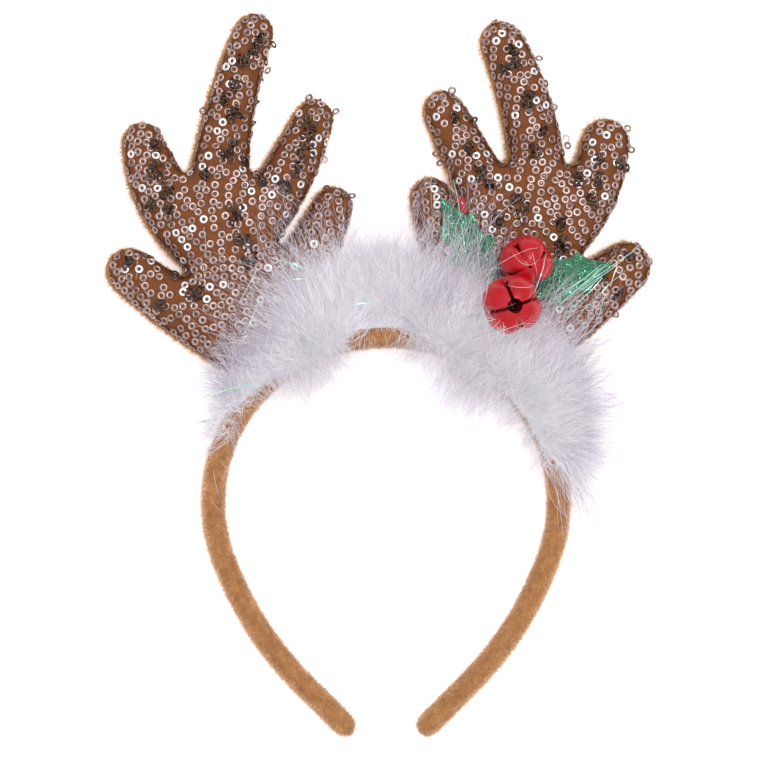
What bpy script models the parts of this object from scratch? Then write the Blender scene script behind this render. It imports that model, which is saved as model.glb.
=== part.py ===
"""Reindeer antler headband, lying on its back on a flat surface.

A plush covered band in the shape of a C carries two stuffed antlers with a sequinned front and a plush
back, a white marabou feather trim wound over the crown, and a spray of two holly leaves, two jingle bells
and a small bead on the right antler's foot. The frame is +X to the right, +Y towards the antlers' tips and
+Z out of the surface. The origin is the middle of the band's crown, on the surface.
"""

import math
import random

import bmesh
import bpy
import numpy as np
from mathutils import Matrix, Vector
from mathutils.bvhtree import BVHTree
from mathutils.geometry import delaunay_2d_cdt

MM = 0.001
TINY = 1e-7
SHARP_ANGLE = math.radians(50)
DROP_HEIGHT = 1.0

# Clearances
SEAT_GAP = 0.3 * MM
CUT_CLEARANCE = 1.0 * MM

# Headband: arcs from the crown to a tip, each with its own radius, then a straight tail
BAND_THICKNESS = 9.4 * MM
BAND_DEPTH = 11.0 * MM
CROWN_RADIUS = 67.0 * MM
CROWN_HALF_ANGLE = math.radians(40)
SHOULDER_RADIUS = 61.0 * MM
SHOULDER_SWEEP = math.radians(70)
LEG_RADIUS = 130.0 * MM
LEG_SWEEP = math.radians(25)
TAIL_LENGTH = 25.5 * MM
TIP_ROUND = 5.0 * MM
TIP_SHARES = (0.45, 0.75, 0.93, 1.0)
TIP_FLAT = 0.22
BAND_SIDES = 12
BAND_STEP = 6.6 * MM

# Antlers: the height runs from the band to the tall tine's tip, and the seam lies at one height all round
LEFT_ANTLER_HEIGHT = 131.0 * MM
RIGHT_ANTLER_HEIGHT = 128.0 * MM
TINE_WIDTH = 16.5 * MM
NOTCH_RADIUS = 1.5 * MM
NOTCH_LEAST = 0.4 * MM
STEM_INNER_ANGLE = math.radians(27)
STEM_OUTER_ANGLE = math.radians(46)
STEM_CORNER_RADIUS = 2.0 * MM
STEM_BULGE = 2.0
SEAM_HEIGHT = 6.5 * MM
PILLOW_RISE = 9.5 * MM
FACE_INSET = 0.6 * MM
FACE_SHIFT = 0.6 * MM
EDGE_RING = 0.9 * MM
OUTLINE_STEP = 5.0 * MM
FILL_STEP = 5.0 * MM
ARC_TURN = math.radians(32)
MERGE_SHARE = 0.12
GRID_MARGIN = 0.45
ROOM_BELOW = 4.0 * MM
STITCH_DIMPLE = 4.0 * MM
STITCH_REACH = 9.0 * MM

# One row for each tine tip and each notch, from the low outer tine round to the low inner one.
# out and up are shares of the antler's height, from the middle of its foot.
# size is a share of the tine width's half for a tip, and of the notch radius for a notch.
# side is the radius of the edge that leads to the next row, as a share of the height: 0 is straight,
# a positive one bulges and a negative one is hollow.
LEFT_ANTLER = (
    # name, kind, out, up, size, side
    ("low_outer", "tip", 0.411, 0.256, 1.14, 0.0),
    ("notch_1", "notch", 0.254, 0.249, 0.75, 0.48),
    ("outer", "tip", 0.372, 0.625, 1.00, 0.0),
    ("notch_2", "notch", 0.249, 0.550, 1.00, 1.80),
    ("tall", "tip", 0.054, 0.938, 0.98, -1.30),
    ("notch_3", "notch", 0.051, 0.553, 1.25, 0.0),
    ("inner", "tip", -0.119, 0.693, 0.97, 0.90),
    ("notch_4", "notch", -0.026, 0.338, 0.88, 0.0),
    ("low_inner", "tip", -0.174, 0.444, 0.96, 1.60),
)
RIGHT_ANTLER = (
    # name, kind, out, up, size, side
    ("low_outer", "tip", 0.367, 0.276, 1.22, 0.0),
    ("notch_1", "notch", 0.250, 0.305, 1.00, 0.50),
    ("outer", "tip", 0.306, 0.640, 1.16, 0.0),
    ("notch_2", "notch", 0.202, 0.584, 1.12, 0.92),
    ("tall", "tip", 0.001, 0.933, 1.04, -1.60),
    ("notch_3", "notch", 0.008, 0.589, 1.00, 0.0),
    ("inner", "tip", -0.169, 0.733, 1.00, 1.60),
    ("notch_4", "notch", -0.130, 0.475, 0.62, 0.0),
    ("low_inner", "tip", -0.207, 0.478, 1.00, 0.90),
)

# Marabou trim: it starts and ends on the shoulders. Its reach is the farthest that its down stands out
# from the band, and its rise the highest that it stands over it.
TRIM_LEFT = 77.0 * MM
TRIM_RIGHT = 88.0 * MM
TRIM_REACH = 35.0 * MM
TRIM_RISE = 11.0 * MM
TRIM_EDGE = 1.2 * MM
TRIM_FLOOR_GAP = 0.5 * MM
TRIM_STEP = 3.6 * MM
TRIM_FULLNESS = 0.62
TRIM_FOOT_ANGLE = math.radians(-25)
CHANNEL_FOOT_ANGLE = math.radians(-50)
CHANNEL_POINTS = 8
CHANNEL_ROOM = 1.06
LOCK_ROWS = 11
LOCK_VALLEY = 0.80
LOCK_TAPER = 3.0
LOCK_VARIATION = 0.16
LOCK_LEAN = 1.3 * MM
LOCK_SEED = 7
# place runs from the left end, 0, to the right end, 1. out and back are shares of the reach, away from the
# head and towards it; rise is a share of the trim's rise. cover is the angle, in degrees up from the outer
# side of the band and over its front, at which the down stops.
TRIM_ROWS = (
    # place, out, back, rise, cover
    (0.00, 0.04, 0.00, 0.15, 90),
    (0.04, 0.18, 0.00, 0.40, 108),
    (0.16, 0.27, 0.00, 0.70, 114),
    (0.23, 0.32, 0.02, 1.00, 124),
    (0.29, 0.42, 0.04, 1.05, 145),
    (0.33, 0.72, 0.04, 1.05, 150),
    (0.37, 0.96, 0.00, 0.85, 112),
    (0.42, 1.00, 0.00, 0.40, 76),
    (0.47, 0.98, 0.00, 0.34, 70),
    (0.52, 0.98, 0.00, 0.45, 88),
    (0.56, 0.84, 0.00, 0.70, 122),
    (0.61, 0.62, 0.04, 0.90, 142),
    (0.68, 0.64, 0.10, 1.25, 165),
    (0.73, 0.62, 0.18, 1.00, 175),
    (0.79, 0.78, 0.04, 1.00, 132),
    (0.84, 0.77, 0.00, 0.95, 118),
    (0.89, 0.58, 0.00, 0.80, 112),
    (0.94, 0.38, 0.00, 0.55, 104),
    (1.00, 0.12, 0.00, 0.20, 88),
)

# Spray of holly and bells: its middle is set from the middle of the right antler's foot, in shares of that
# antler's height, and each place below is measured from its middle
SPRAY_OUT = 0.025
SPRAY_UP = 0.19

# Holly leaves
LEAF_LENGTH = 39.0 * MM
LEAF_WIDTH = 20.6 * MM
LEAF_THICKNESS = 1.0 * MM
LEAF_FOLD = math.radians(12)
LEAF_ARCH = 2.4 * MM
LEAF_SCALLOP = 0.30
SCALLOP_STEPS = 5
LEAF_FILL_STEP = 4.0 * MM
# Spikes along one edge of a leaf: along is a share of the length, half_width of half the width
LEAF_SPIKES = (
    # along, half_width
    (0.00, 0.10),
    (0.15, 0.72),
    (0.41, 1.00),
    (0.70, 0.78),
    (1.00, 0.00),
)
LEFT_LEAF_FOOT = (-6.0 * MM, 2.3 * MM)
LEFT_LEAF_HEADING = math.radians(120)
RIGHT_LEAF_FOOT = (1.0 * MM, 1.3 * MM)
RIGHT_LEAF_HEADING = math.radians(15)

# Jingle bells: thin shells of four petals, with crossed slots that meet in a round opening, and a loop
BELL_DIAMETER = 19.6 * MM
BELL_WALL = 0.6 * MM
BELL_DENT = 0.15
DENT_FADE = 1.6
BELL_SLOT = 1.1 * MM
BELL_HOLE = 2.8 * MM
BELL_HOLE_DROP = 2.6 * MM
BELL_MOUTH = 4.6 * MM
BELL_LOOP_RADIUS = 1.4 * MM
BELL_WIRE = 0.9 * MM
BELL_SIDES = 24
BELL_RINGS = 10
HOLE_SIDES = 12
LOOP_SIDES = 6
LOOP_TURNS = 14
BALL_DIAMETER = 6.0 * MM
BALL_GAP = 0.5 * MM
BALL_RINGS = 8
BALL_SIDES = 12
UPPER_BELL = (5.8 * MM, 11.8 * MM)
UPPER_BELL_TILT = math.radians(14)
UPPER_BELL_HEADING = math.radians(-80)
UPPER_BELL_TURN = math.radians(-32)
LOWER_BELL = (0.1 * MM, -4.0 * MM)
LOWER_BELL_TILT = math.radians(7)
LOWER_BELL_HEADING = math.radians(-45)
LOWER_BELL_TURN = math.radians(-19)

# Small oval bead beside the left leaf
BEAD_LENGTH = 8.0 * MM
BEAD_WIDTH = 4.4 * MM
BEAD_PLACE = (-17.9 * MM, 34.4 * MM)
BEAD_TURN = math.radians(22)

COLOURS = {
    # name: (red, green, blue), roughness, metallic
    "tan_plush": ((0.52, 0.25, 0.09), 0.95, 0.0),
    "sequin_cloth": ((0.36, 0.17, 0.09), 0.45, 0.35),
    "marabou": ((0.86, 0.85, 0.89), 0.95, 0.0),
    "holly_green": ((0.03, 0.30, 0.10), 0.40, 0.2),
    "bell_red": ((0.62, 0.02, 0.03), 0.35, 0.4),
    "ball_steel": ((0.25, 0.22, 0.22), 0.25, 0.9),
}


# Scene and materials


def clear_scene():
    for obj in list(bpy.data.objects):
        bpy.data.objects.remove(obj)


def material(name):
    found = bpy.data.materials.get(name)
    if found:
        return found
    colour, roughness, metallic = COLOURS[name]
    made = bpy.data.materials.new(name)
    made.use_nodes = True
    shader = made.node_tree.nodes["Principled BSDF"]
    shader.inputs["Base Color"].default_value = (*colour, 1)
    shader.inputs["Roughness"].default_value = roughness
    shader.inputs["Metallic"].default_value = metallic
    return made


def object_from_bmesh(name, shape, finish, helper=False):
    """A named object that holds the shape; a helper only cuts other shapes."""
    bmesh.ops.recalc_face_normals(shape, faces=shape.faces)
    mesh = bpy.data.meshes.new(name)
    shape.to_mesh(mesh)
    shape.free()
    mesh.shade_smooth()
    mesh.set_sharp_from_angle(angle=SHARP_ANGLE)
    obj = bpy.data.objects.new(name, mesh)
    bpy.context.scene.collection.objects.link(obj)
    if helper:
        obj.hide_render = True
        obj.display_type = "WIRE"
    else:
        mesh.materials.append(material(finish))
    return obj


def loft(rings):
    """One closed body through rings of points, the first and the last of which are capped."""
    shape = bmesh.new()
    made = [[shape.verts.new(point) for point in ring] for ring in rings]
    for low, high in zip(made, made[1:]):
        for i in range(len(low)):
            j = (i + 1) % len(low)
            shape.faces.new((low[i], low[j], high[j], high[i]))
    shape.faces.new(made[0][::-1])
    shape.faces.new(made[-1])
    return shape


# The band's line


def band_arcs():
    return (
        (CROWN_RADIUS, CROWN_HALF_ANGLE),
        (SHOULDER_RADIUS, SHOULDER_SWEEP),
        (LEG_RADIUS, LEG_SWEEP),
    )


def band_half_length():
    return sum(radius * sweep for radius, sweep in band_arcs()) + TAIL_LENGTH


def band_frame(distance):
    """Centre and outward direction at a distance along the band from the crown, negative to the left."""
    side = math.copysign(1, distance)
    left = abs(distance)
    turned = 0.0
    point = Vector((0, 0))
    for radius, sweep in band_arcs():
        turn = min(left / radius, sweep)
        centre = point - radius * Vector((math.sin(turned), math.cos(turned)))
        turned += turn
        point = centre + radius * Vector((math.sin(turned), math.cos(turned)))
        left -= turn * radius
    point += left * Vector((math.cos(turned), -math.sin(turned)))
    return (
        Vector((side * point.x, point.y)),
        Vector((side * math.sin(turned), math.cos(turned))),
    )


def band_section(grow=0.0):
    """Points round the band's section as (outward, up); its lowest facet lies flat on the surface."""
    points = []
    for i in range(BAND_SIDES):
        angle = 2 * math.pi * (i + 0.5) / BAND_SIDES - math.pi / 2
        flat = math.cos(math.pi / BAND_SIDES)
        out = (BAND_THICKNESS / 2 + grow) * math.cos(angle)
        up = BAND_DEPTH / 2 + (BAND_DEPTH / 2 + grow) * math.sin(angle) / flat
        points.append((out, up))
    return points


def place_section(distance, section):
    """Points of a section, given as (outward, up), set up on the band's line."""
    point, outward = band_frame(distance)
    return [
        Vector((point.x + out * outward.x, point.y + out * outward.y, up))
        for out, up in section
    ]


def make_headband():
    half = band_half_length()
    straight = half - TIP_ROUND
    steps = round(2 * straight / BAND_STEP)
    stations = [(-straight + 2 * straight * i / steps, 1.0) for i in range(steps + 1)]
    for share in TIP_SHARES:
        size = max(math.sqrt(1 - share**2), TIP_FLAT)
        stations.insert(0, (-straight - share * TIP_ROUND, size))
        stations.append((straight + share * TIP_ROUND, size))
    rings = []
    for distance, size in stations:
        middle = BAND_DEPTH / 2
        section = [(out * size, middle + (up - middle) * size) for out, up in band_section()]
        rings.append(place_section(distance, section))
    return object_from_bmesh("headband", loft(rings), "tan_plush")


# Antler patterns: belts of arcs and tangents round circles


def circles_with_sides(rows):
    """Adds, between two circles whose edge is curved, the large circle that touches both.

    A circle is (centre, oriented radius, is_base), and an oriented radius is negative where the circle
    lies outside the pattern, in a notch."""
    made = []
    for row, follower in zip(rows, rows[1:] + rows[:1]):
        centre, radius, side, is_base = row
        made.append((centre, radius, is_base))
        if not side:
            continue
        near, far = abs(side - radius), abs(side - follower[1])
        across = follower[0] - centre
        span = across.length
        along = (near**2 - far**2 + span**2) / (2 * span)
        aside = math.sqrt(max(near**2 - along**2, 0)) * math.copysign(1, side)
        ahead = across / span
        middle = centre + ahead * along + Vector((-ahead.y, ahead.x)) * aside
        made.append((middle, side, False))
    return made


def belt_outline(circles, step):
    """Points of the closed outline, counter-clockwise, each as (point, lies on the base arc)."""
    ways = []
    for (centre, radius, _), (other, far, _) in zip(circles, circles[1:] + circles[:1]):
        across = other - centre
        shift = far - radius
        reach = math.sqrt(max(across.length_squared - shift**2, 0))
        angle = math.atan2(across.y, across.x) - math.atan2(shift, reach)
        normal = Vector((-math.sin(angle), math.cos(angle)))
        ways.append((centre - radius * normal, other - far * normal))
    outline = []
    for i, (centre, radius, is_base) in enumerate(circles):
        start, end = ways[i - 1][1], ways[i][0]
        first = math.atan2(start.y - centre.y, start.x - centre.x)
        sweep = (math.atan2(end.y - centre.y, end.x - centre.x) - first) * math.copysign(1, radius)
        sweep %= 2 * math.pi
        if 2 * math.pi - sweep < ARC_TURN:
            sweep = 0.0
        count = max(1, math.ceil(abs(radius) * sweep / step), math.ceil(sweep / ARC_TURN))
        for k in range(count + 1):
            turned = first + math.copysign(1, radius) * sweep * k / count
            spot = centre + abs(radius) * Vector((math.cos(turned), math.sin(turned)))
            outline.append((spot, is_base))
        tangent = ways[i][1] - ways[i][0]
        pieces = max(1, round(tangent.length / step))
        outline += [(ways[i][0] + tangent * k / pieces, False) for k in range(1, pieces)]
    kept = []
    for spot, is_base in outline:
        if not kept or (spot - kept[-1][0]).length > MERGE_SHARE * step:
            kept.append((spot, is_base))
    if (kept[0][0] - kept[-1][0]).length < MERGE_SHARE * step:
        kept.pop()
    return kept


def seat_spot(angle, beyond=0.0):
    """A point where an antler's foot meets the band, or beyond it, at an angle from the crown."""
    reach = CROWN_RADIUS + BAND_THICKNESS / 2 + SEAT_GAP + beyond
    return Vector((reach * math.sin(angle), reach * math.cos(angle) - CROWN_RADIUS))


def antler_foot():
    return seat_spot((STEM_INNER_ANGLE + STEM_OUTER_ANGLE) / 2)


def antler_circles(table, height, grow):
    """The pattern's circles as for a right antler, in the part's frame, grown all round by a distance."""
    corner = STEM_CORNER_RADIUS
    rows = []
    for angle in (STEM_OUTER_ANGLE, STEM_INNER_ANGLE):
        rows.append((seat_spot(angle, corner), corner + grow, 0.0, False))
    stem_outer, stem_inner = rows
    rows = [(*stem_outer[:2], STEM_BULGE * height + grow, False)]
    for _, kind, out, up, size, side in table:
        if kind == "tip":
            radius = size * TINE_WIDTH / 2 + grow
        else:
            radius = -max(size * NOTCH_RADIUS - grow, NOTCH_LEAST)
        bend = side * height + grow if side else 0.0
        rows.append((antler_foot() + Vector((out, up)) * height, radius, bend, False))
    rows.append(stem_inner)
    rows.append((Vector((0, -CROWN_RADIUS)), grow - (seat_spot(0).y + CROWN_RADIUS), 0.0, True))
    return circles_with_sides(rows)


def antler_pattern(table, height, side, grow=0.0, shift=0.0):
    """Outline, and a ring just inside it, of an antler on one side of the head: 1 is right, -1 left."""
    outlines = []
    for inward in (0.0, EDGE_RING):
        belt = belt_outline(antler_circles(table, height, grow - inward), OUTLINE_STEP)
        spots = [(Vector((side * spot.x + shift, spot.y)), is_base) for spot, is_base in belt]
        outlines.append(spots if side > 0 else spots[::-1])
    return outlines


# Sheets: a flat pattern filled with triangles, and solids between two heights over it


def nearest_gap(spot, outline):
    """Distance from a point to a closed outline, and whether the point lies inside it."""
    ends = np.array([tuple(p) for p in outline])
    starts = np.roll(ends, 1, axis=0)
    edges = ends - starts
    here = np.array(tuple(spot))
    along = ((here - starts) * edges).sum(1) / np.maximum((edges**2).sum(1), TINY**2)
    nearest = starts + np.clip(along, 0, 1)[:, None] * edges
    gap = np.sqrt(((here - nearest) ** 2).sum(1)).min()
    crossing = (starts[:, 1] > here[1]) != (ends[:, 1] > here[1])
    rise = np.where(crossing, ends[:, 1] - starts[:, 1], 1.0)
    reach = starts[:, 0] + (here[1] - starts[:, 1]) * edges[:, 0] / rise
    inside = np.count_nonzero(crossing & (here[0] < reach)) % 2 == 1
    return gap, inside


def fill_pattern(outline, ring, step):
    """Points and triangles that fill an outline: its own points first, then a ring's, then a grid's."""
    start, stop = len(outline), len(outline) + len(ring)
    spots = [Vector(p) for p in outline] + [Vector(p) for p in ring]
    ring_edges = [(i, i + 1 if i + 1 < stop else start) for i in range(start, stop)]
    edge = [Vector(p) for p in (ring or outline)]
    low_x, high_x = min(p.x for p in outline), max(p.x for p in outline)
    low_y, high_y = min(p.y for p in outline), max(p.y for p in outline)
    row_height = step * math.sqrt(3) / 2
    for row in range(int((high_y - low_y) / row_height) + 1):
        for column in range(int((high_x - low_x) / step) + 2):
            spot = Vector((low_x + (column + 0.5 * (row % 2)) * step, low_y + (row + 0.5) * row_height))
            gap, inside = nearest_gap(spot, edge)
            if inside and gap > GRID_MARGIN * step:
                spots.append(spot)
    found = delaunay_2d_cdt(spots, ring_edges, [list(range(start))], 1, TINY)
    return found[0], found[2]


def inflated(points, triangles, pinned):
    """Rise of a stuffed pattern: a membrane's height over its pinned edge, which a straight tine of half
    width w lifts into a round of radius w, and which levels off over a wide palm."""
    xy = np.array([tuple(p) for p in points])
    stiffness = np.zeros((len(xy), len(xy)))
    load = np.zeros(len(xy))
    for corners in triangles:
        a, b, c = (xy[i] for i in corners)
        spans = np.array([c - b, a - c, b - a])
        area = abs(spans[0][0] * spans[1][1] - spans[0][1] * spans[1][0]) / 2
        stiffness[np.ix_(corners, corners)] += spans @ spans.T / (4 * area)
        load[list(corners)] += area / 3
    loose = [i for i in range(len(xy)) if i not in pinned]
    height = np.zeros(len(xy))
    height[loose] = np.linalg.solve(stiffness[np.ix_(loose, loose)], load[loose])
    spread = np.sqrt(2 * np.maximum(height, 0))
    return PILLOW_RISE * (1 - np.exp(-spread / PILLOW_RISE))


def sheet_solid(points, triangles, border, top, bottom):
    """Closed body between two heights over a filled pattern; where they meet on the border it is pinched.

    The bottom is left as one flat face if it is a single height."""
    shape = bmesh.new()
    flat = np.isscalar(bottom)
    count = len(points)
    low_heights = np.full(count, bottom) if flat else np.asarray(bottom)
    upper = [shape.verts.new((p.x, p.y, z)) for p, z in zip(points, top)]
    lower = {}
    for i in border if flat else range(count):
        pinched = i in border and abs(top[i] - low_heights[i]) < TINY
        spot = (points[i].x, points[i].y, low_heights[i])
        lower[i] = upper[i] if pinched else shape.verts.new(spot)
    for corners in triangles:
        shape.faces.new([upper[i] for i in corners])
    if flat:
        shape.faces.new([lower[i] for i in border][::-1])
    else:
        for corners in triangles:
            shape.faces.new([lower[i] for i in reversed(corners)])
    for i, j in zip(border, border[1:] + border[:1]):
        wall = [upper[i], lower[i], lower[j], upper[j]]
        around = [v for k, v in enumerate(wall) if v is not wall[k - 1]]
        if len(around) > 2:
            shape.faces.new(around[::-1])
    return shape


def spray_spot(offset):
    """A place of the spray, given from the spray's middle, in the part's frame."""
    middle = antler_foot() + Vector((SPRAY_OUT, SPRAY_UP)) * RIGHT_ANTLER_HEIGHT
    return middle + Vector(offset)


def antler_solid(name, table, height, side, front, helper=False):
    """The front or back half of a stuffed antler, or the body that makes room for it."""
    grow, shift = (-FACE_INSET, FACE_SHIFT) if front else (0.0, 0.0)
    if helper:
        grow = CUT_CLEARANCE
    outline, ring = antler_pattern(table, height, side, grow, shift)
    edge = [spot for spot, _ in outline]
    points, triangles = fill_pattern(edge, [spot for spot, _ in ring], FILL_STEP)
    border = list(range(len(edge)))
    pinned = {i for i in border if not outline[i][1]}
    rise = inflated(points, triangles, pinned)
    for spot in (UPPER_BELL, LOWER_BELL):
        away = np.array([(p - spray_spot(spot)).length for p in points])
        rise *= 1 - STITCH_DIMPLE / PILLOW_RISE * np.exp(-((away / STITCH_REACH) ** 2))
    if helper:
        top = SEAM_HEIGHT + rise + CUT_CLEARANCE
        shape = sheet_solid(points, triangles, border, top, -ROOM_BELOW)
    elif front:
        seam = SEAM_HEIGHT + SEAT_GAP / 2
        shape = sheet_solid(points, triangles, border, seam + rise, seam)
    else:
        seam = SEAM_HEIGHT - SEAT_GAP / 2
        shape = sheet_solid(points, triangles, border, np.maximum(seam - rise, 0), seam)
    return object_from_bmesh(name, shape, "sequin_cloth" if front else "tan_plush", helper)


# Marabou trim


def trim_row(place):
    """The trim's reaches and the angle it covers at a place along it, read between the table's rows."""
    columns = np.array(TRIM_ROWS).T
    out, back, rise, cover = (np.interp(place, columns[0], column) for column in columns[1:])
    return out * TRIM_REACH, back * TRIM_REACH, rise * TRIM_RISE, math.radians(cover)


def trim_spot(angle, out, up):
    """Across and up of a point round the band's middle, on a rounded section with these half widths."""
    lift = math.copysign(abs(math.sin(angle)) ** TRIM_FULLNESS, math.sin(angle))
    return out * math.cos(angle), BAND_DEPTH / 2 + up * lift


def trim_ring(distance, place, index, chance):
    """Locks from the outer foot over the band to where the down stops, then the channel back round it."""
    out, back, rise, cover = trim_row(place)
    half_out = (BAND_THICKNESS / 2 + SEAT_GAP) * CHANNEL_ROOM
    half_up = (BAND_DEPTH / 2 + SEAT_GAP) * CHANNEL_ROOM
    lock = LOCK_VALLEY if index % 2 else 1 - LOCK_VARIATION * chance.random()
    lean = chance.uniform(-LOCK_LEAN, LOCK_LEAN)
    ring = []
    for k in range(LOCK_ROWS):
        share = k / (LOCK_ROWS - 1)
        angle = TRIM_FOOT_ANGLE + (cover - TRIM_FOOT_ANGLE) * share
        length = math.sqrt(min(1, LOCK_TAPER * (1 - share))) * lock
        reach = max((out if math.cos(angle) > 0 else back) * length, TRIM_EDGE)
        across, up = trim_spot(angle, half_out + reach, half_up + max(rise * length, TRIM_EDGE))
        ring.append((distance + lean * math.cos(angle), across, max(up, TRIM_FLOOR_GAP)))
    for k in range(CHANNEL_POINTS):
        angle = cover + (CHANNEL_FOOT_ANGLE - cover) * k / (CHANNEL_POINTS - 1)
        across = half_out * math.cos(angle)
        ring.append((distance, across, BAND_DEPTH / 2 + half_up * math.sin(angle)))
    return [place_section(d, [(across, up)])[0] for d, across, up in ring]


def make_trim(cutters):
    length = TRIM_LEFT + TRIM_RIGHT
    count = round(length / TRIM_STEP)
    chance = random.Random(LOCK_SEED)
    rings = []
    for index in range(count + 1):
        place = index / count
        rings.append(trim_ring(-TRIM_LEFT + place * length, place, index, chance))
    trim = object_from_bmesh("marabou_trim", loft(rings), "marabou")
    for cutter in cutters:
        cut = trim.modifiers.new("room_for_" + cutter.name, "BOOLEAN")
        cut.object = cutter
        cut.operation = "DIFFERENCE"
        cut.solver = "EXACT"
    return trim


# Holly leaves


def leaf_outline():
    """Outline of a leaf along +X from its foot, with hollow scallops between its spikes."""
    edge = []
    for (along, wide), (next_along, next_wide) in zip(LEAF_SPIKES, LEAF_SPIKES[1:]):
        for step in range(SCALLOP_STEPS):
            share = step / SCALLOP_STEPS
            hollow = 1 - LEAF_SCALLOP * 4 * share * (1 - share)
            x = along + (next_along - along) * share
            y = (wide + (next_wide - wide) * share) * hollow
            edge.append(Vector((x * LEAF_LENGTH, y * LEAF_WIDTH / 2)))
    edge.append(Vector((LEAF_LENGTH, 0)))
    other = [Vector((p.x, -p.y)) for p in reversed(edge[:-1])]
    return (edge + other)[::-1]


def make_leaf(name, foot, heading):
    outline = leaf_outline()
    points, triangles = fill_pattern(outline, [], LEAF_FILL_STEP)
    share = np.array([p.x for p in points]) / LEAF_LENGTH
    fold = np.abs([p.y for p in points]) * math.tan(LEAF_FOLD)
    under = fold + LEAF_ARCH * 4 * share * (1 - share)
    border = list(range(len(outline)))
    shape = sheet_solid(points, triangles, border, under + LEAF_THICKNESS, under)
    leaf = object_from_bmesh(name, shape, "holly_green")
    leaf.location = (*spray_spot(foot), 0)
    leaf.rotation_euler.z = heading
    return leaf


def make_leaf_room(leaf):
    """A prism over the leaf's outline, grown by the clearance, that keeps the trim off the leaf."""
    middle = Vector((LEAF_LENGTH / 2, 0))
    edge = []
    for p in leaf_outline():
        outward = p - middle
        edge.append(p + CUT_CLEARANCE * outward.normalized())
    top = LEAF_ARCH + TRIM_RISE + BAND_DEPTH
    room = object_from_bmesh(
        leaf.name + "_room",
        loft([[(p.x, p.y, -SEAT_GAP) for p in edge], [(p.x, p.y, top) for p in edge]]),
        "holly_green",
        helper=True,
    )
    room.matrix_world = leaf.matrix_world
    return room


# Jingle bells


def half_circle(radius, steps):
    """Half of a circle from the upper pole down to the lower one, as (across, up)."""
    angles = [math.pi * i / steps for i in range(steps + 1)]
    return [(radius * math.sin(a), radius * math.cos(a)) for a in angles]


def spun(profile, sides):
    """A closed body turned about Z from a profile whose ends lie on the axis."""
    shape = bmesh.new()
    rings = []
    for across, up in profile:
        if across < TINY:
            rings.append([shape.verts.new((0, 0, up))])
            continue
        turns = [2 * math.pi * i / sides for i in range(sides)]
        rings.append([shape.verts.new((across * math.cos(t), across * math.sin(t), up)) for t in turns])
    for high, low in zip(rings, rings[1:]):
        for i in range(sides):
            j = (i + 1) % sides
            around = [high[i % len(high)], low[i % len(low)], low[j % len(low)], high[j % len(high)]]
            corners = [v for k, v in enumerate(around) if v is not around[k - 1]]
            shape.faces.new(corners)
    return shape


def bell_shell(radius):
    """A sphere pressed in along the four slots, from its middle down to the slotted pole."""
    shape = spun(half_circle(radius, BELL_RINGS), BELL_SIDES)
    for vert in shape.verts:
        around = abs(math.sin(2 * math.atan2(vert.co.y, vert.co.x)))
        down = min(max(0.5 - DENT_FADE * vert.co.z / radius, 0), 1)
        dent = BELL_DENT * (1 - around) ** 3 * down
        vert.co.x *= 1 - dent
        vert.co.y *= 1 - dent
    return shape


def bell_loop():
    """The wire loop that stands on the dome, a ring in the XZ plane half sunk into it."""
    rings = []
    for i in range(LOOP_TURNS):
        turn = 2 * math.pi * i / LOOP_TURNS
        ring = []
        for k in range(LOOP_SIDES):
            angle = 2 * math.pi * k / LOOP_SIDES
            across = BELL_LOOP_RADIUS + BELL_WIRE / 2 * math.cos(angle)
            ring.append((across * math.cos(turn), BELL_WIRE / 2 * math.sin(angle), across * math.sin(turn)))
        rings.append(ring)
    shape = bmesh.new()
    made = [[shape.verts.new(p) for p in ring] for ring in rings]
    for low, high in zip(made, made[1:] + made[:1]):
        for i in range(LOOP_SIDES):
            j = (i + 1) % LOOP_SIDES
            shape.faces.new((low[i], low[j], high[j], high[i]))
    bmesh.ops.translate(shape, vec=(0, 0, BELL_DIAMETER / 2 + BELL_LOOP_RADIUS / 2), verts=shape.verts)
    return shape


def round_cutter(diameter, length, matrix):
    cutter = bmesh.new()
    bmesh.ops.create_cone(
        cutter,
        cap_ends=True,
        segments=HOLE_SIDES,
        radius1=diameter / 2,
        radius2=diameter / 2,
        depth=length,
        matrix=matrix,
    )
    return cutter


def bell_slots():
    """Cutters of the crossed slots, of the round holes that end them and of the mouth where they meet."""
    deep = BELL_DIAMETER
    cutters = [round_cutter(BELL_MOUTH, deep, Matrix.Translation((0, 0, -deep / 2)))]
    for turn in (0, math.pi / 2):
        turned = Matrix.Rotation(turn, 4, "Z") @ Matrix.Translation((0, 0, -BELL_HOLE_DROP))
        slot = bmesh.new()
        bmesh.ops.create_cube(slot, size=1)
        bmesh.ops.scale(slot, vec=(2 * deep, BELL_SLOT, deep), verts=slot.verts)
        bmesh.ops.transform(slot, matrix=turned @ Matrix.Translation((0, 0, -deep / 2)), verts=slot.verts)
        cutters.append(slot)
        lying = turned @ Matrix.Rotation(math.pi / 2, 4, "Y")
        cutters.append(round_cutter(BELL_HOLE, 2 * deep, lying))
    return cutters


def bell_pose(place, tilt, heading, turn):
    """Where a bell sits: its slotted pole leans by tilt towards heading, and the bell is turned on it."""
    slots_up = Matrix.Rotation(math.pi, 4, "X")
    lean = Matrix.Rotation(tilt, 4, Vector((-math.sin(heading), math.cos(heading), 0)))
    return Matrix.Translation((*spray_spot(place), 0)) @ lean @ slots_up @ Matrix.Rotation(turn, 4, "Z")


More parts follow.
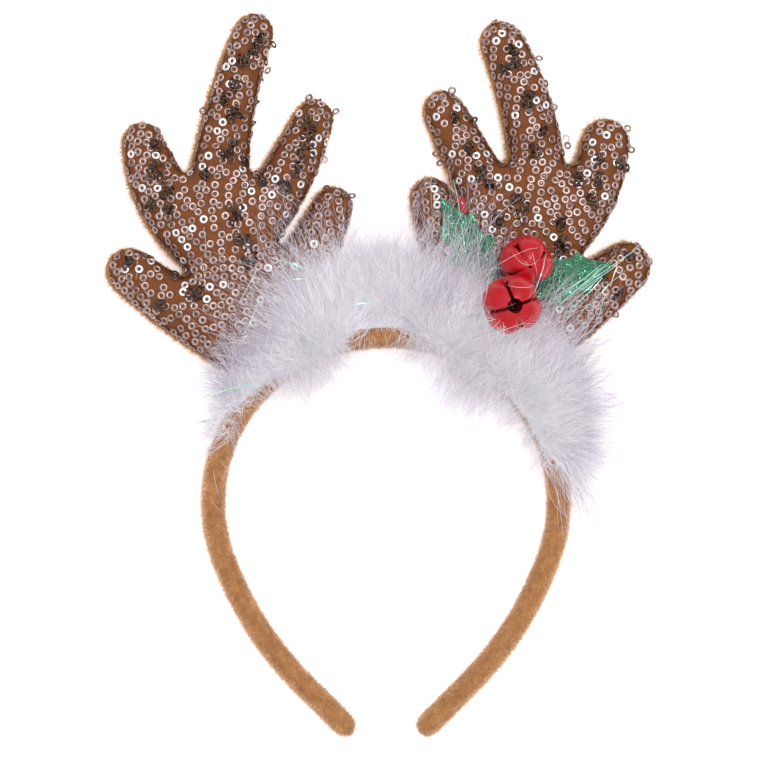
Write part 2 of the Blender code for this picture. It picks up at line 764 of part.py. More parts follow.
def make_bell(name, ball_name, pose):
    """A slotted shell with its loop fused on, and the loose ball that lies in it."""
    shell = object_from_bmesh(name, bell_shell(BELL_DIAMETER / 2), "bell_red")
    loop = object_from_bmesh(name + "_loop", bell_loop(), "bell_red", helper=True)
    hollow = bell_shell(BELL_DIAMETER / 2 - BELL_WALL)
    inside = object_from_bmesh(name + "_hollow", hollow, "bell_red", helper=True)
    steps = [(loop, "UNION"), (inside, "DIFFERENCE")]
    for index, cutter in enumerate(bell_slots()):
        made = object_from_bmesh(f"{name}_slot_{index}", cutter, "bell_red", helper=True)
        steps.append((made, "DIFFERENCE"))
    for helper, operation in steps:
        helper.matrix_world = pose
        change = shell.modifiers.new(helper.name, "BOOLEAN")
        change.object = helper
        change.operation = operation
        change.solver = "EXACT"
    shell.matrix_world = pose
    ball_shape = spun(half_circle(BALL_DIAMETER / 2, BALL_RINGS), BALL_SIDES)
    ball = object_from_bmesh(ball_name, ball_shape, "ball_steel")
    drop = BELL_DIAMETER / 2 - BELL_WALL - BALL_DIAMETER / 2 - BALL_GAP
    ball.location = pose.translation - Vector((0, 0, drop))
    return [shell, ball] + [helper for helper, _ in steps]


# Resting pieces on one another


def tree_of(objects):
    """One search tree over the evaluated faces of several objects, in world space."""
    graph = bpy.context.evaluated_depsgraph_get()
    corners, faces = [], []
    for obj in objects:
        evaluated = obj.evaluated_get(graph)
        mesh = evaluated.to_mesh()
        start = len(corners)
        corners += [evaluated.matrix_world @ v.co for v in mesh.vertices]
        faces += [[start + i for i in face.vertices] for face in mesh.polygons]
        evaluated.to_mesh_clear()
    return BVHTree.FromPolygons(corners, faces), corners


def drop_onto(pieces, supports, gap, moved=None):
    """Lowers pieces, which start high, until the nearest of them is a gap above the supports.

    moved lists everything that goes down with them, such as a shell's own cutters."""
    bpy.context.view_layer.update()
    for obj in moved or pieces:
        obj.location.z += DROP_HEIGHT
    bpy.context.view_layer.update()
    below, below_points = tree_of(supports)
    above, above_points = tree_of(pieces)
    fall = []
    for point in above_points:
        hit = below.ray_cast(point, Vector((0, 0, -1)))
        if hit[0] is not None:
            fall.append(hit[3])
    for point in below_points:
        hit = above.ray_cast(point, Vector((0, 0, 1)))
        if hit[0] is not None:
            fall.append(hit[3])
    for obj in moved or pieces:
        obj.location.z -= min(fall) - gap
    bpy.context.view_layer.update()


def make_bead():
    shape = spun(half_circle(BEAD_WIDTH / 2, BALL_RINGS), BALL_SIDES)
    bmesh.ops.scale(shape, vec=(1, BEAD_LENGTH / BEAD_WIDTH, 1), verts=shape.verts)
    bead = object_from_bmesh("red_bead", shape, "bell_red")
    bead.location = (*spray_spot(BEAD_PLACE), 0)
    bead.rotation_euler.z = BEAD_TURN
    return bead


def main():
    clear_scene()
    make_headband()
    sides = (
        ("left", LEFT_ANTLER, LEFT_ANTLER_HEIGHT, -1),
        ("right", RIGHT_ANTLER, RIGHT_ANTLER_HEIGHT, 1),
    )
    faces, cutters = {}, []
    for word, table, height, side in sides:
        faces[word] = antler_solid(f"antler_{word}_face", table, height, side, front=True)
        antler_solid(f"antler_{word}_back", table, height, side, front=False)
        cutters.append(antler_solid(f"antler_{word}_room", table, height, side, front=False, helper=True))
    leaves = (
        ("left", LEFT_LEAF_FOOT, LEFT_LEAF_HEADING),
        ("right", RIGHT_LEAF_FOOT, RIGHT_LEAF_HEADING),
    )
    spray = [faces["right"]]
    for word, foot, heading in leaves:
        leaf = make_leaf(f"holly_leaf_{word}", foot, heading)
        drop_onto([leaf], spray, SEAT_GAP)
        spray.append(leaf)
        cutters.append(make_leaf_room(leaf))
    spray.append(make_trim(cutters))
    bells = (
        ("upper", UPPER_BELL, UPPER_BELL_TILT, UPPER_BELL_HEADING, UPPER_BELL_TURN),
        ("lower", LOWER_BELL, LOWER_BELL_TILT, LOWER_BELL_HEADING, LOWER_BELL_TURN),
    )
    for word, place, tilt, heading, turn in bells:
        pose = bell_pose(place, tilt, heading, turn)
        made = make_bell(f"jingle_bell_{word}", f"bell_ball_{word}", pose)
        drop_onto(made[:1], spray, SEAT_GAP, moved=made)
        spray.append(made[0])
    bead = make_bead()
    drop_onto([bead], spray, SEAT_GAP)


main()
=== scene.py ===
# %% [markdown]
# # A reindeer antler headband in Blender
#
# The headband lies on its back on a pale table and is seen from straight above. It is made of soft things:
# a plush covered band, two stuffed antlers sewn all over with ring sequins, a white marabou feather trim,
# two glitter holly leaves, two red jingle bells and a small bead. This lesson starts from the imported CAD
# model, which says where every piece is, and dresses each piece in cloth, pile, sequins, down and lacquer.
#
# The frame is in metres. +X is to the right, +Y runs towards the antlers' tips and +Z comes out of the table.

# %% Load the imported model
import math
import random

import bmesh
import bpy
import numpy as np
from mathutils import Matrix, Vector, noise
from mathutils.bvhtree import BVHTree
from mathutils.geometry import delaunay_2d_cdt


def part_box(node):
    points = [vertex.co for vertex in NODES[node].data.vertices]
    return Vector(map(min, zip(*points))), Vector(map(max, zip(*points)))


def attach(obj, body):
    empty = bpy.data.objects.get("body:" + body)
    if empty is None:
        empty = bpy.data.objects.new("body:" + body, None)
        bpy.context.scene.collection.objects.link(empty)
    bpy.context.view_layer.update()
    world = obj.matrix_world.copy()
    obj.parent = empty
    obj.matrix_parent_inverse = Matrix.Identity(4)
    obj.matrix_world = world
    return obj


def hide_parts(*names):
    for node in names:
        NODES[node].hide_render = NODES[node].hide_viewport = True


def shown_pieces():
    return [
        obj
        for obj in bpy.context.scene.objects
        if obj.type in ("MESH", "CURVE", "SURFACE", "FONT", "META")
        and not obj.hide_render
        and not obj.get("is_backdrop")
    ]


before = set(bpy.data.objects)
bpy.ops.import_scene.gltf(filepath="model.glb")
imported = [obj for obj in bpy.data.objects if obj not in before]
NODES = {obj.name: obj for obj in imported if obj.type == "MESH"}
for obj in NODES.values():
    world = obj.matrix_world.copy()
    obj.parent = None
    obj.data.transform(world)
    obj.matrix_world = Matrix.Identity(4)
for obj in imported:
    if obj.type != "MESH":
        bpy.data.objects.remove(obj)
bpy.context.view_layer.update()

BODY = "root"
MM = 0.001
TINY = 1e-9

# %% [markdown]
# The headband is small and was photographed from far away with a long lens, so its outline hardly shows any
# perspective. The camera looks straight down. One number, the width that the view covers, and one distance
# give the focal length. The same numbers turn a place in the square picture, in its 768 steps, into a place
# on the object, which is how loose threads of tinsel are set down later on.

# %% Camera
VIEW_WIDTH = 288 * MM
VIEW_STEPS = 768
SIGHT_CENTRE = Vector((-0.75 * MM, -18 * MM, 7 * MM))
CAMERA_DISTANCE = 1300 * MM
SENSOR = 36.0


def at(across, down):
    """The place on the object, as (x, y), that shows at a step across and down the picture."""
    step = VIEW_WIDTH / VIEW_STEPS
    middle = VIEW_STEPS / 2
    return Vector((SIGHT_CENTRE.x + (across - middle) * step, SIGHT_CENTRE.y + (middle - down) * step))


camera_data = bpy.data.cameras.new("camera")
camera_data.sensor_width = SENSOR
camera_data.lens = SENSOR * CAMERA_DISTANCE / VIEW_WIDTH
camera = bpy.data.objects.new("camera", camera_data)
camera.location = SIGHT_CENTRE + Vector((0, 0, CAMERA_DISTANCE))
bpy.context.scene.collection.objects.link(camera)
bpy.context.scene.camera = camera
print("focal length in mm:", round(camera_data.lens, 1))

# %% [markdown]
# A studio for small glittery goods is a white table in a soft tent of light that is brightest overhead. Sequins
# that lie flat mirror its top and turn pale, and those that lean mirror its darker sides. One smaller lamp
# beside the camera makes small glints; the few pure white sequins are painted glints in the foil's colour. The
# tent is slightly lavender, which adds to the cool painted shade in the white down's own colours. The table is
# a light table that glows a little, so there are hardly any shadows and the fuzzy rims are lit from below. The
# Standard view transform keeps the reds and the greens as strong as they are.

# %% Floor and light
FLOOR_DROP = 0.3 * MM
FLOOR_SIZE = 6.0
FLOOR_GLOW = 0.5
DOME_LOW, DOME_HIGH = 0.32, 1.18


def add(tree, kind, inputs=None, **settings):
    """A node with these settings; an input is a plain value or another node's output socket."""
    made = tree.nodes.new(kind)
    for key, value in settings.items():
        setattr(made, key, value)
    for socket, value in (inputs or {}).items():
        if isinstance(value, bpy.types.NodeSocket):
            tree.links.new(value, made.inputs[socket])
        else:
            made.inputs[socket].default_value = value
    return made


def principled(name, **constants):
    """A material with one Principled BSDF, and the tree and shader to go on building with."""
    made = bpy.data.materials.new(name)
    made.use_nodes = True
    shader = made.node_tree.nodes["Principled BSDF"]
    for socket, value in constants.items():
        shader.inputs[socket.replace("_", " ")].default_value = value
    return made, made.node_tree, shader


floor_finish, _, _ = principled("pale_table", Base_Color=(0.93, 0.93, 0.93, 1), Roughness=0.9,
                                Emission_Color=(1, 1, 1, 1), Emission_Strength=FLOOR_GLOW)
floor_mesh = bpy.data.meshes.new("table")
half_floor = FLOOR_SIZE / 2
floor_mesh.from_pydata(
    [(x, y, -FLOOR_DROP) for x, y in ((-half_floor, -half_floor), (half_floor, -half_floor),
                                      (half_floor, half_floor), (-half_floor, half_floor))],
    [], [(0, 1, 2, 3)])
floor_mesh.materials.append(floor_finish)
floor = bpy.data.objects.new("table", floor_mesh)
bpy.context.scene.collection.objects.link(floor)
floor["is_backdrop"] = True

LAMPS = (
    # name, place in metres, size in metres, watts
    ("glint_softbox", (0.35, 0.50, 1.65), 0.42, 9.0),
)
for lamp_name, place, size, watts in LAMPS:
    lamp = bpy.data.lights.new(lamp_name, "AREA")
    lamp.shape, lamp.size, lamp.energy = "DISK", size, watts
    holder = bpy.data.objects.new(lamp_name, lamp)
    holder.location = place
    holder.rotation_euler = (-Vector(place)).to_track_quat("-Z", "Y").to_euler()
    bpy.context.scene.collection.objects.link(holder)
world = bpy.data.worlds.new("soft_room")
world.use_nodes = True
room = world.node_tree
direction = add(room, "ShaderNodeSeparateXYZ",
                {0: add(room, "ShaderNodeTexCoord").outputs["Generated"]}).outputs["Z"]
dome = add(room, "ShaderNodeMapRange", {"Value": direction, "From Min": 0.05, "From Max": 0.95,
                                        "To Min": DOME_LOW, "To Max": DOME_HIGH})
room.links.new(dome.outputs[0], room.nodes["Background"].inputs["Strength"])
room.nodes["Background"].inputs["Color"].default_value = (0.955, 0.945, 1.0, 1)
bpy.context.scene.world = world
bpy.context.scene.view_settings.view_transform = "Standard"
print("lamps:", len(LAMPS))

# %% [markdown]
# Dyed cloth and pile are never one colour: the dye takes unevenly, and each thread has its own tone. A node
# group that more than one material uses is built once. This one mixes three tones by a cloudy noise over the
# object and by a number that each fibre carries, and lightens the fibre towards its tip, which is painted
# light. For pile and down that number carries painted light and shade as well.

# %% Shader group: uneven dye


def shader_group(name, inputs, outputs):
    """An empty shader node group with these sockets, and its own input and output nodes."""
    group = bpy.data.node_groups.new(name, "ShaderNodeTree")
    for label, kind, value in inputs:
        socket = group.interface.new_socket(label, in_out="INPUT", socket_type=kind)
        if value is not None:
            socket.default_value = value
    for label, kind in outputs:
        group.interface.new_socket(label, in_out="OUTPUT", socket_type=kind)
    return group, group.nodes.new("NodeGroupInput"), group.nodes.new("NodeGroupOutput")


def use_group(tree, group, **values):
    made = tree.nodes.new("ShaderNodeGroup")
    made.node_tree = group
    for label, value in values.items():
        socket = made.inputs[label.replace("_", " ")]
        if isinstance(value, bpy.types.NodeSocket):
            tree.links.new(value, socket)
        else:
            socket.default_value = value
    return made


def mix_colour(tree, share, first, second):
    made = tree.nodes.new("ShaderNodeMix")
    made.data_type = "RGBA"
    for socket, value in ((0, share), (6, first), (7, second)):
        if isinstance(value, bpy.types.NodeSocket):
            tree.links.new(value, made.inputs[socket])
        else:
            made.inputs[socket].default_value = value
    return made.outputs[2]


dye_and_tip_light, dye_in, dye_out = shader_group(
    "uneven_dye",
    (("Dark", "NodeSocketColor", None), ("Middle", "NodeSocketColor", None), ("Light", "NodeSocketColor", None),
     ("Cloud Size", "NodeSocketFloat", 0.006), ("Fibre", "NodeSocketFloat", 0.5),
     ("Tip", "NodeSocketFloat", 0.0), ("Tip Gain", "NodeSocketFloat", 0.3)),
    (("Color", "NodeSocketColor"), ("Cloud", "NodeSocketFloat")))
place_node = add(dye_and_tip_light, "ShaderNodeTexCoord")
per_size = add(dye_and_tip_light, "ShaderNodeMath", {0: 1.0, 1: dye_in.outputs["Cloud Size"]}, operation="DIVIDE")
cloud = add(dye_and_tip_light, "ShaderNodeTexNoise", {"Vector": place_node.outputs["Object"], "Scale": per_size.outputs[0],
                                        "Detail": 3.0, "Roughness": 0.6})
spread = add(dye_and_tip_light, "ShaderNodeMapRange", {"Value": cloud.outputs["Fac"], "From Min": 0.3, "From Max": 0.7})
lower = mix_colour(dye_and_tip_light, spread.outputs[0], dye_in.outputs["Dark"], dye_in.outputs["Middle"])
mixed = mix_colour(dye_and_tip_light, dye_in.outputs["Fibre"], lower, dye_in.outputs["Light"])
# Painted light: the fibre's tone goes towards the light tone along its tip.
toward_tip = add(dye_and_tip_light, "ShaderNodeMath", {0: dye_in.outputs["Tip"], 1: dye_in.outputs["Tip Gain"]},
                 operation="MULTIPLY")
dye_and_tip_light.links.new(mix_colour(dye_and_tip_light, toward_tip.outputs[0], mixed, dye_in.outputs["Light"]), dye_out.inputs["Color"])
dye_and_tip_light.links.new(spread.outputs[0], dye_out.inputs["Cloud"])
print("group:", dye_and_tip_light.name, "with", len(dye_and_tip_light.nodes), "nodes")

# %% [markdown]
# Cloth shows its threads only close up. This group makes the height of a plain weave from two crossed waves,
# broken up by a fine noise, so that no thread is as straight as a drawn line. Lacquer, cloth and metal also
# share a fine speckle of handling marks, which changes how rough they are.

# %% Shader groups: weave and handling marks
weave, weave_in, weave_out = shader_group(
    "plain_weave", (("Thread", "NodeSocketFloat", 0.0004),),
    (("Height", "NodeSocketFloat"),))
weave_place = add(weave, "ShaderNodeTexCoord")
threads_per_metre = add(weave, "ShaderNodeMath", {0: 0.05, 1: weave_in.outputs["Thread"]}, operation="DIVIDE")
waves = [add(weave, "ShaderNodeTexWave", {"Vector": weave_place.outputs["Object"],
                                          "Scale": threads_per_metre.outputs[0], "Distortion": 1.5,
                                          "Detail": 2.0, "Detail Scale": 3.0},
             wave_type="BANDS", bands_direction=direction).outputs["Fac"] for direction in ("X", "Y")]
weave.links.new(add(weave, "ShaderNodeMath", {0: waves[0], 1: waves[1]}, operation="MAXIMUM").outputs[0],
                weave_out.inputs["Height"])

marks, marks_in, marks_out = shader_group(
    "handling_marks", (("Size", "NodeSocketFloat", 0.002), ("Least", "NodeSocketFloat", 0.3),
                       ("Most", "NodeSocketFloat", 0.5)),
    (("Roughness", "NodeSocketFloat"), ("Mask", "NodeSocketFloat")))
marks_place = add(marks, "ShaderNodeTexCoord")
marks_scale = add(marks, "ShaderNodeMath", {0: 1.0, 1: marks_in.outputs["Size"]}, operation="DIVIDE")
smudge = add(marks, "ShaderNodeTexNoise", {"Vector": marks_place.outputs["Object"],
                                           "Scale": marks_scale.outputs[0], "Detail": 5.0, "Roughness": 0.7})
ranged = add(marks, "ShaderNodeMapRange", {"Value": smudge.outputs["Fac"], "From Min": 0.35, "From Max": 0.7,
                                           "To Min": marks_in.outputs["Least"],
                                           "To Max": marks_in.outputs["Most"]})
marks.links.new(ranged.outputs[0], marks_out.inputs["Roughness"])
marks.links.new(smudge.outputs["Fac"], marks_out.inputs["Mask"])
print("groups:", weave.name, marks.name)

# %% [markdown]
# The plush is short caramel pile on a knitted back. Each fibre is a real strip of mesh, so its material only
# has to give the tone: darker at the foot and lighter at the tip, which is painted shade and light, and a
# little different from fibre to fibre.
# The white down works the same way with a cool and a faintly pink tone. Light passes through real down from
# barb to barb, so it has hardly any dark places: a faint glow of its own stands for that.

# %% Materials of pile, ground cloth and down


def attribute(tree, name):
    return add(tree, "ShaderNodeAttribute", attribute_name=name, attribute_type="GEOMETRY").outputs["Fac"]


def bumped(tree, shader, height, distance, strength=1.0):
    bump = add(tree, "ShaderNodeBump", {"Height": height, "Distance": distance, "Strength": strength})
    tree.links.new(bump.outputs["Normal"], shader.inputs["Normal"])


def pile_finish(name, dark, middle, light, cloud_size, tip_gain, **constants):
    made, tree, shader = principled(name, **constants)
    tones = use_group(tree, dye_and_tip_light, Dark=(*dark, 1), Middle=(*middle, 1), Light=(*light, 1),
                      Cloud_Size=cloud_size, Fibre=attribute(tree, "chance"), Tip=attribute(tree, "share"),
                      Tip_Gain=tip_gain)
    tree.links.new(tones.outputs["Color"], shader.inputs["Base Color"])
    return made


def ground_finish(name, dark, middle, light, cloud_size, bump_size, bump_height, painted_flank_shading=None, **constants):
    """The cloth under a pile or under sequins, with a weave or a short nap in its normals. The flank tone
    is painted shade: a darker tone mixed in where the cloth is seen at a slant."""
    made, tree, shader = principled(name, **constants)
    colour = use_group(tree, dye_and_tip_light, Dark=(*dark, 1), Middle=(*middle, 1), Light=(*light, 1),
                       Cloud_Size=cloud_size, Fibre=0.3).outputs["Color"]
    # Painted shade: the cloth darkens towards the flank tone where it is seen at a slant.
    if painted_flank_shading:
        slant = add(tree, "ShaderNodeLayerWeight", {"Blend": 0.5}).outputs["Facing"]
        colour = mix_colour(tree, slant, colour, (*painted_flank_shading, 1))
    tree.links.new(colour, shader.inputs["Base Color"])
    grain = use_group(tree, weave, Thread=bump_size)
    bumped(tree, shader, grain.outputs["Height"], bump_height)
    return made


TAN_DARK, TAN, TAN_LIGHT = (0.26, 0.09, 0.022), (0.52, 0.245, 0.076), (0.93, 0.64, 0.36)
plush_pile = pile_finish("tan_plush_pile", TAN_DARK, TAN, TAN_LIGHT, 3.5 * MM, 0.45,
                         Roughness=0.85, Sheen_Weight=0.3, Sheen_Roughness=0.4)
plush_ground = ground_finish("tan_plush_ground", TAN_DARK, TAN, TAN, 3.0 * MM, 0.5 * MM, 0.12 * MM,
                             Roughness=0.95, Sheen_Weight=0.3)
# The satin's darker small clouds are partly uneven dye and partly painted shade of wrinkles and of the gaps between
# sequins; its flank tone is painted shade.
satin_ground = ground_finish("brown_satin", (0.075, 0.018, 0.005), (0.20, 0.057, 0.016), (0.38, 0.14, 0.045),
                             1.8 * MM, 0.28 * MM, 0.09 * MM, painted_flank_shading=(0.07, 0.016, 0.005),
                             Roughness=0.7, Specular_IOR_Level=0.15)
DOWN_GLOW = 0.22
SOFTENED = 0.7


def lit_through(made):
    """Down glows a little in its own tone, and its shading follows the whole trim more than each strip."""
    tree = made.node_tree
    shader = tree.nodes["Principled BSDF"]
    tree.links.new(shader.inputs["Base Color"].links[0].from_socket, shader.inputs["Emission Color"])
    own = add(tree, "ShaderNodeNewGeometry").outputs["Normal"]
    mixed = add(tree, "ShaderNodeMix", {"Factor": SOFTENED, 4: own, 5: (0, 0, 1)}, data_type="VECTOR")
    level = add(tree, "ShaderNodeVectorMath", {0: mixed.outputs[1]}, operation="NORMALIZE")
    tree.links.new(level.outputs["Vector"], shader.inputs["Normal"])
    return made


white_down = lit_through(pile_finish("white_down", (0.70, 0.675, 0.725), (0.80, 0.775, 0.81),
                                     (0.97, 0.935, 0.955), 5.0 * MM, 0.25, Roughness=0.9,
                                     Emission_Strength=DOWN_GLOW))
single_barbs = pile_finish("single_barbs", (0.46, 0.43, 0.50), (0.56, 0.52, 0.59), (0.74, 0.69, 0.75), 5.0 * MM,
                           0.2, Roughness=0.8)
down_ground = lit_through(ground_finish("down_ground", (0.66, 0.635, 0.685), (0.76, 0.735, 0.775),
                                        (0.88, 0.85, 0.87), 4.0 * MM, 0.9 * MM, 0.3 * MM, Roughness=0.95,
                                        Emission_Strength=DOWN_GLOW))
print("pile and cloth materials:", [m.name for m in bpy.data.materials])

# %% [markdown]
# Pile, down, wisps, tinsel and sewing thread are all the same thing at other sizes: thin strips that start
# at a root and reach somewhere. One Geometry Nodes tree makes them all. Its input is a cloud of roots that
# carry their own reach (where the tip is), arch (how the strip bows) and side (which way it is wide). The
# tree puts one strip template on each root, makes the copies real, and then works out every point from those
# numbers. A coarse noise over the roots bends neighbours together into locks, and a fine one curls each
# strip on its own.

# %% Geometry Nodes: strips from roots
STRIP_INPUTS = (
    ("Roots", "NodeSocketGeometry", None), ("Strip", "NodeSocketObject", None),
    ("Width", "NodeSocketFloat", 0.0001), ("Taper", "NodeSocketFloat", 1.0),
    ("Lock Size", "NodeSocketFloat", 0.004), ("Lock Sway", "NodeSocketFloat", 0.2),
    ("Curl Size", "NodeSocketFloat", 0.002), ("Curl Sway", "NodeSocketFloat", 0.1),
    ("Lowest", "NodeSocketFloat", 0.0001), ("Finish", "NodeSocketMaterial", None),
)
strips_tree = bpy.data.node_groups.new("strips_from_roots", "GeometryNodeTree")
for label, kind, value in STRIP_INPUTS:
    socket = strips_tree.interface.new_socket(label, in_out="INPUT", socket_type=kind)
    if value is not None:
        socket.default_value = value
strips_tree.interface.new_socket("Strips", in_out="OUTPUT", socket_type="NodeSocketGeometry")
tree_in = strips_tree.nodes.new("NodeGroupInput").outputs
tree_out = strips_tree.nodes.new("NodeGroupOutput")


def field(name, kind="FLOAT_VECTOR"):
    return add(strips_tree, "GeometryNodeInputNamedAttribute", {"Name": name}, data_type=kind).outputs[0]


def vector(operation, first, second):
    slot = "Scale" if operation == "SCALE" else 1
    return add(strips_tree, "ShaderNodeVectorMath", {0: first, slot: second}, operation=operation).outputs[0]


def number(operation, first, second=0.0):
    return add(strips_tree, "ShaderNodeMath", {0: first, 1: second}, operation=operation).outputs[0]


def sway(size, amount, along):
    """A noise over the roots, from -1 to 1 on each axis, that grows along the strip with its length."""
    seen = vector("SCALE", vector("ADD", field("root"), along), number("DIVIDE", 1.0, size))
    cloud_node = add(strips_tree, "ShaderNodeTexNoise", {"Vector": seen, "Scale": 1.0, "Detail": 1.0})
    centred = vector("SUBTRACT", cloud_node.outputs["Color"], (0.5, 0.5, 0.5))
    length = add(strips_tree, "ShaderNodeVectorMath", {0: field("reach")}, operation="LENGTH").outputs["Value"]
    return vector("SCALE", centred, number("MULTIPLY", number("MULTIPLY", amount, length), share))


share, edge = field("share", "FLOAT"), field("edge", "FLOAT")
left_over = number("SUBTRACT", 1.0, share)
bow = number("MULTIPLY", number("MULTIPLY", share, left_over), 4.0)
width_here = number("MULTIPLY", tree_in["Width"],
                    number("SUBTRACT", 1.0, number("MULTIPLY", number("MULTIPLY", share, share),
                                                   tree_in["Taper"])))
line = vector("ADD", vector("ADD", field("root"), vector("SCALE", field("reach"), share)),
              vector("SCALE", field("arch"), bow))
line = vector("ADD", line, sway(tree_in["Lock Size"], tree_in["Lock Sway"], (0.0, 0.0, 0.0)))
line = vector("ADD", line, sway(tree_in["Curl Size"], tree_in["Curl Sway"], vector("SCALE", field("reach"), share)))
line = vector("ADD", line, vector("SCALE", field("side"), number("MULTIPLY", edge, width_here)))
floor_free = add(strips_tree, "ShaderNodeCombineXYZ", {2: tree_in["Lowest"], 0: -1e3, 1: -1e3}).outputs[0]
line = vector("MAXIMUM", line, floor_free)
info = add(strips_tree, "GeometryNodeObjectInfo", {"Object": tree_in["Strip"]})
stored = add(strips_tree, "GeometryNodeStoreNamedAttribute",
             {"Geometry": tree_in["Roots"], "Name": "root",
              "Value": strips_tree.nodes.new("GeometryNodeInputPosition").outputs[0]},
             data_type="FLOAT_VECTOR", domain="POINT")
copies = add(strips_tree, "GeometryNodeInstanceOnPoints",
             {"Points": stored.outputs[0], "Instance": info.outputs["Geometry"]})
real = add(strips_tree, "GeometryNodeRealizeInstances", {0: copies.outputs[0]})
bent = add(strips_tree, "GeometryNodeSetPosition", {"Geometry": real.outputs[0], "Position": line})
finished = add(strips_tree, "GeometryNodeSetMaterial", {0: bent.outputs[0], "Material": tree_in["Finish"]})
strips_tree.links.new(finished.outputs[0], tree_out.inputs[0])
print("tree:", strips_tree.name, "with", len(strips_tree.nodes), "nodes")

# %% [markdown]
# These helpers feed the trees. A template strip keeps two numbers on each point: its share of the way from
# root to tip, and which edge it is on. The roots are a mesh of loose points with attributes. A modifier's
# inputs are set by their sockets' identifiers before anything is evaluated, and the evaluated result is then
# taken as a plain mesh, because later steps need real faces.

# %% Helpers: pieces, roots and baking a tree


def piece(name, mesh, finish, replaced=()):
    """A finished piece in the scene, which rides on the body and takes the place of these CAD nodes."""
    made = bpy.data.objects.new(name, mesh)
    bpy.context.scene.collection.objects.link(made)
    mesh.materials.clear()
    mesh.materials.append(finish)
    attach(made, BODY)
    if replaced:
        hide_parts(*replaced)
    return made


def strip_template(segments, pointed=True):
    mesh = bpy.data.meshes.new(f"strip_of_{segments}")
    shares, edges, faces = [], [], []
    for row in range(segments + 1):
        if row == segments and pointed:
            shares.append(1.0)
            edges.append(0.0)
        else:
            shares += [row / segments] * 2
            edges += [-0.5, 0.5]
        if row:
            low = 2 * (row - 1)
            high = low + 2
            faces.append((low, low + 1, high) if row == segments and pointed else (low, low + 1, high + 1, high))
    mesh.from_pydata([(0, 0, 0)] * len(shares), [], faces)
    for name, values in (("share", shares), ("edge", edges)):
        mesh.attributes.new(name, "FLOAT", "POINT").data.foreach_set("value", values)
    return bpy.data.objects.new(mesh.name, mesh)


def root_cloud(name, roots, **values):
    """Loose points that carry a value or a vector each."""
    mesh = bpy.data.meshes.new(name)
    mesh.vertices.add(len(roots))
    mesh.vertices.foreach_set("co", np.asarray(roots, np.float32).ravel())
    for label, data in values.items():
        data = np.asarray(data, np.float32)
        kind, field_name = ("FLOAT", "value") if data.ndim == 1 else ("FLOAT_VECTOR", "vector")
        mesh.attributes.new(label, kind, "POINT").data.foreach_set(field_name, data.ravel())
    return mesh


def baked(name, mesh, tree, values, kept):
    """The plain mesh that a tree makes of a mesh, with only the attributes that its material reads."""
    holder = bpy.data.objects.new(name, mesh)
    change = holder.modifiers.new(tree.name, "NODES")
    change.node_group = tree
    for item in tree.interface.items_tree:
        if item.in_out == "INPUT" and item.name in values:
            change[item.identifier] = values[item.name]
    bpy.context.scene.collection.objects.link(holder)
    graph = bpy.context.evaluated_depsgraph_get()
    result = bpy.data.meshes.new_from_object(holder.evaluated_get(graph))
    result.name = name
    bpy.data.objects.remove(holder)
    for old in [a.name for a in result.attributes if not a.is_internal and not a.is_required]:
        if old not in kept:
            result.attributes.remove(result.attributes[old])
    result.shade_smooth()
    return result


def strips(name, template, roots, reach, arch, side, chance, finish, slot, **values):
    """A piece of many strips; values are the tree's named inputs, with _ for a space."""
    inputs = {label.replace("_", " "): value for label, value in values.items()}
    inputs.update({"Strip": template, "Finish": finish})
    cloud_mesh = root_cloud(name + "_roots", roots, reach=reach, arch=arch, side=side, chance=chance)
    mesh = baked(name, cloud_mesh, strips_tree, inputs, ("share", "chance"))
    made = piece(name, mesh, finish)
    triangles = sum(len(p.vertices) - 2 for p in mesh.polygons)
    print(f"{name}: {len(roots)} strips, {triangles} triangles")
    return made


def unit(vectors):
    return vectors / np.maximum(np.linalg.norm(vectors, axis=-1, keepdims=True), TINY)


def scattered(mesh, count, chance, kept=None):
    """Points spread evenly over a mesh's faces, with the smooth normal at each."""
    mesh.calc_loop_triangles()
    corners = np.array([t.vertices[:] for t in mesh.loop_triangles])
    spots = np.array([v.co[:] for v in mesh.vertices])
    normals = np.array([v.normal[:] for v in mesh.vertices])
    a, b, c = (spots[corners[:, i]] for i in range(3))
    areas = np.linalg.norm(np.cross(b - a, c - a), axis=1)
    if kept is not None:
        areas = areas * kept((a + b + c) / 3)
    chosen = chance.choice(len(corners), count, p=areas / areas.sum())
    u, v = chance.random(count), chance.random(count)
    over = u + v > 1
    u[over], v[over] = 1 - u[over], 1 - v[over]
    shares = np.stack([1 - u - v, u, v], 1)[:, :, None]
    picked = corners[chosen]
    return (spots[picked] * shares).sum(1), unit((normals[picked] * shares).sum(1))


short_strip, strip_3, strip_5, strip_8 = (strip_template(n) for n in (2, 3, 5, 8))
even_strip = strip_template(7, pointed=False)
print("templates:", short_strip.name, strip_3.name, strip_5.name, strip_8.name, even_strip.name)

# %% [markdown]
# The band is a springy core in a tube of caramel plush. Its line is the CAD band's: arcs of three radii and a
# straight tail, the same on both sides. Much else is placed by a distance along this line from the crown and
# a distance out from it, so the line is worked out once as a table of points and outward directions.

# %% The band's line
BAND_ARCS = ((67.0 * MM, math.radians(40)), (61.0 * MM, math.radians(70)), (130.0 * MM, math.radians(25)))
BAND_TAIL = 25.5 * MM
BAND_THICK, BAND_DEPTH = 9.4 * MM, 11.0 * MM
BAND_HALF = sum(radius * sweep for radius, sweep in BAND_ARCS) + BAND_TAIL


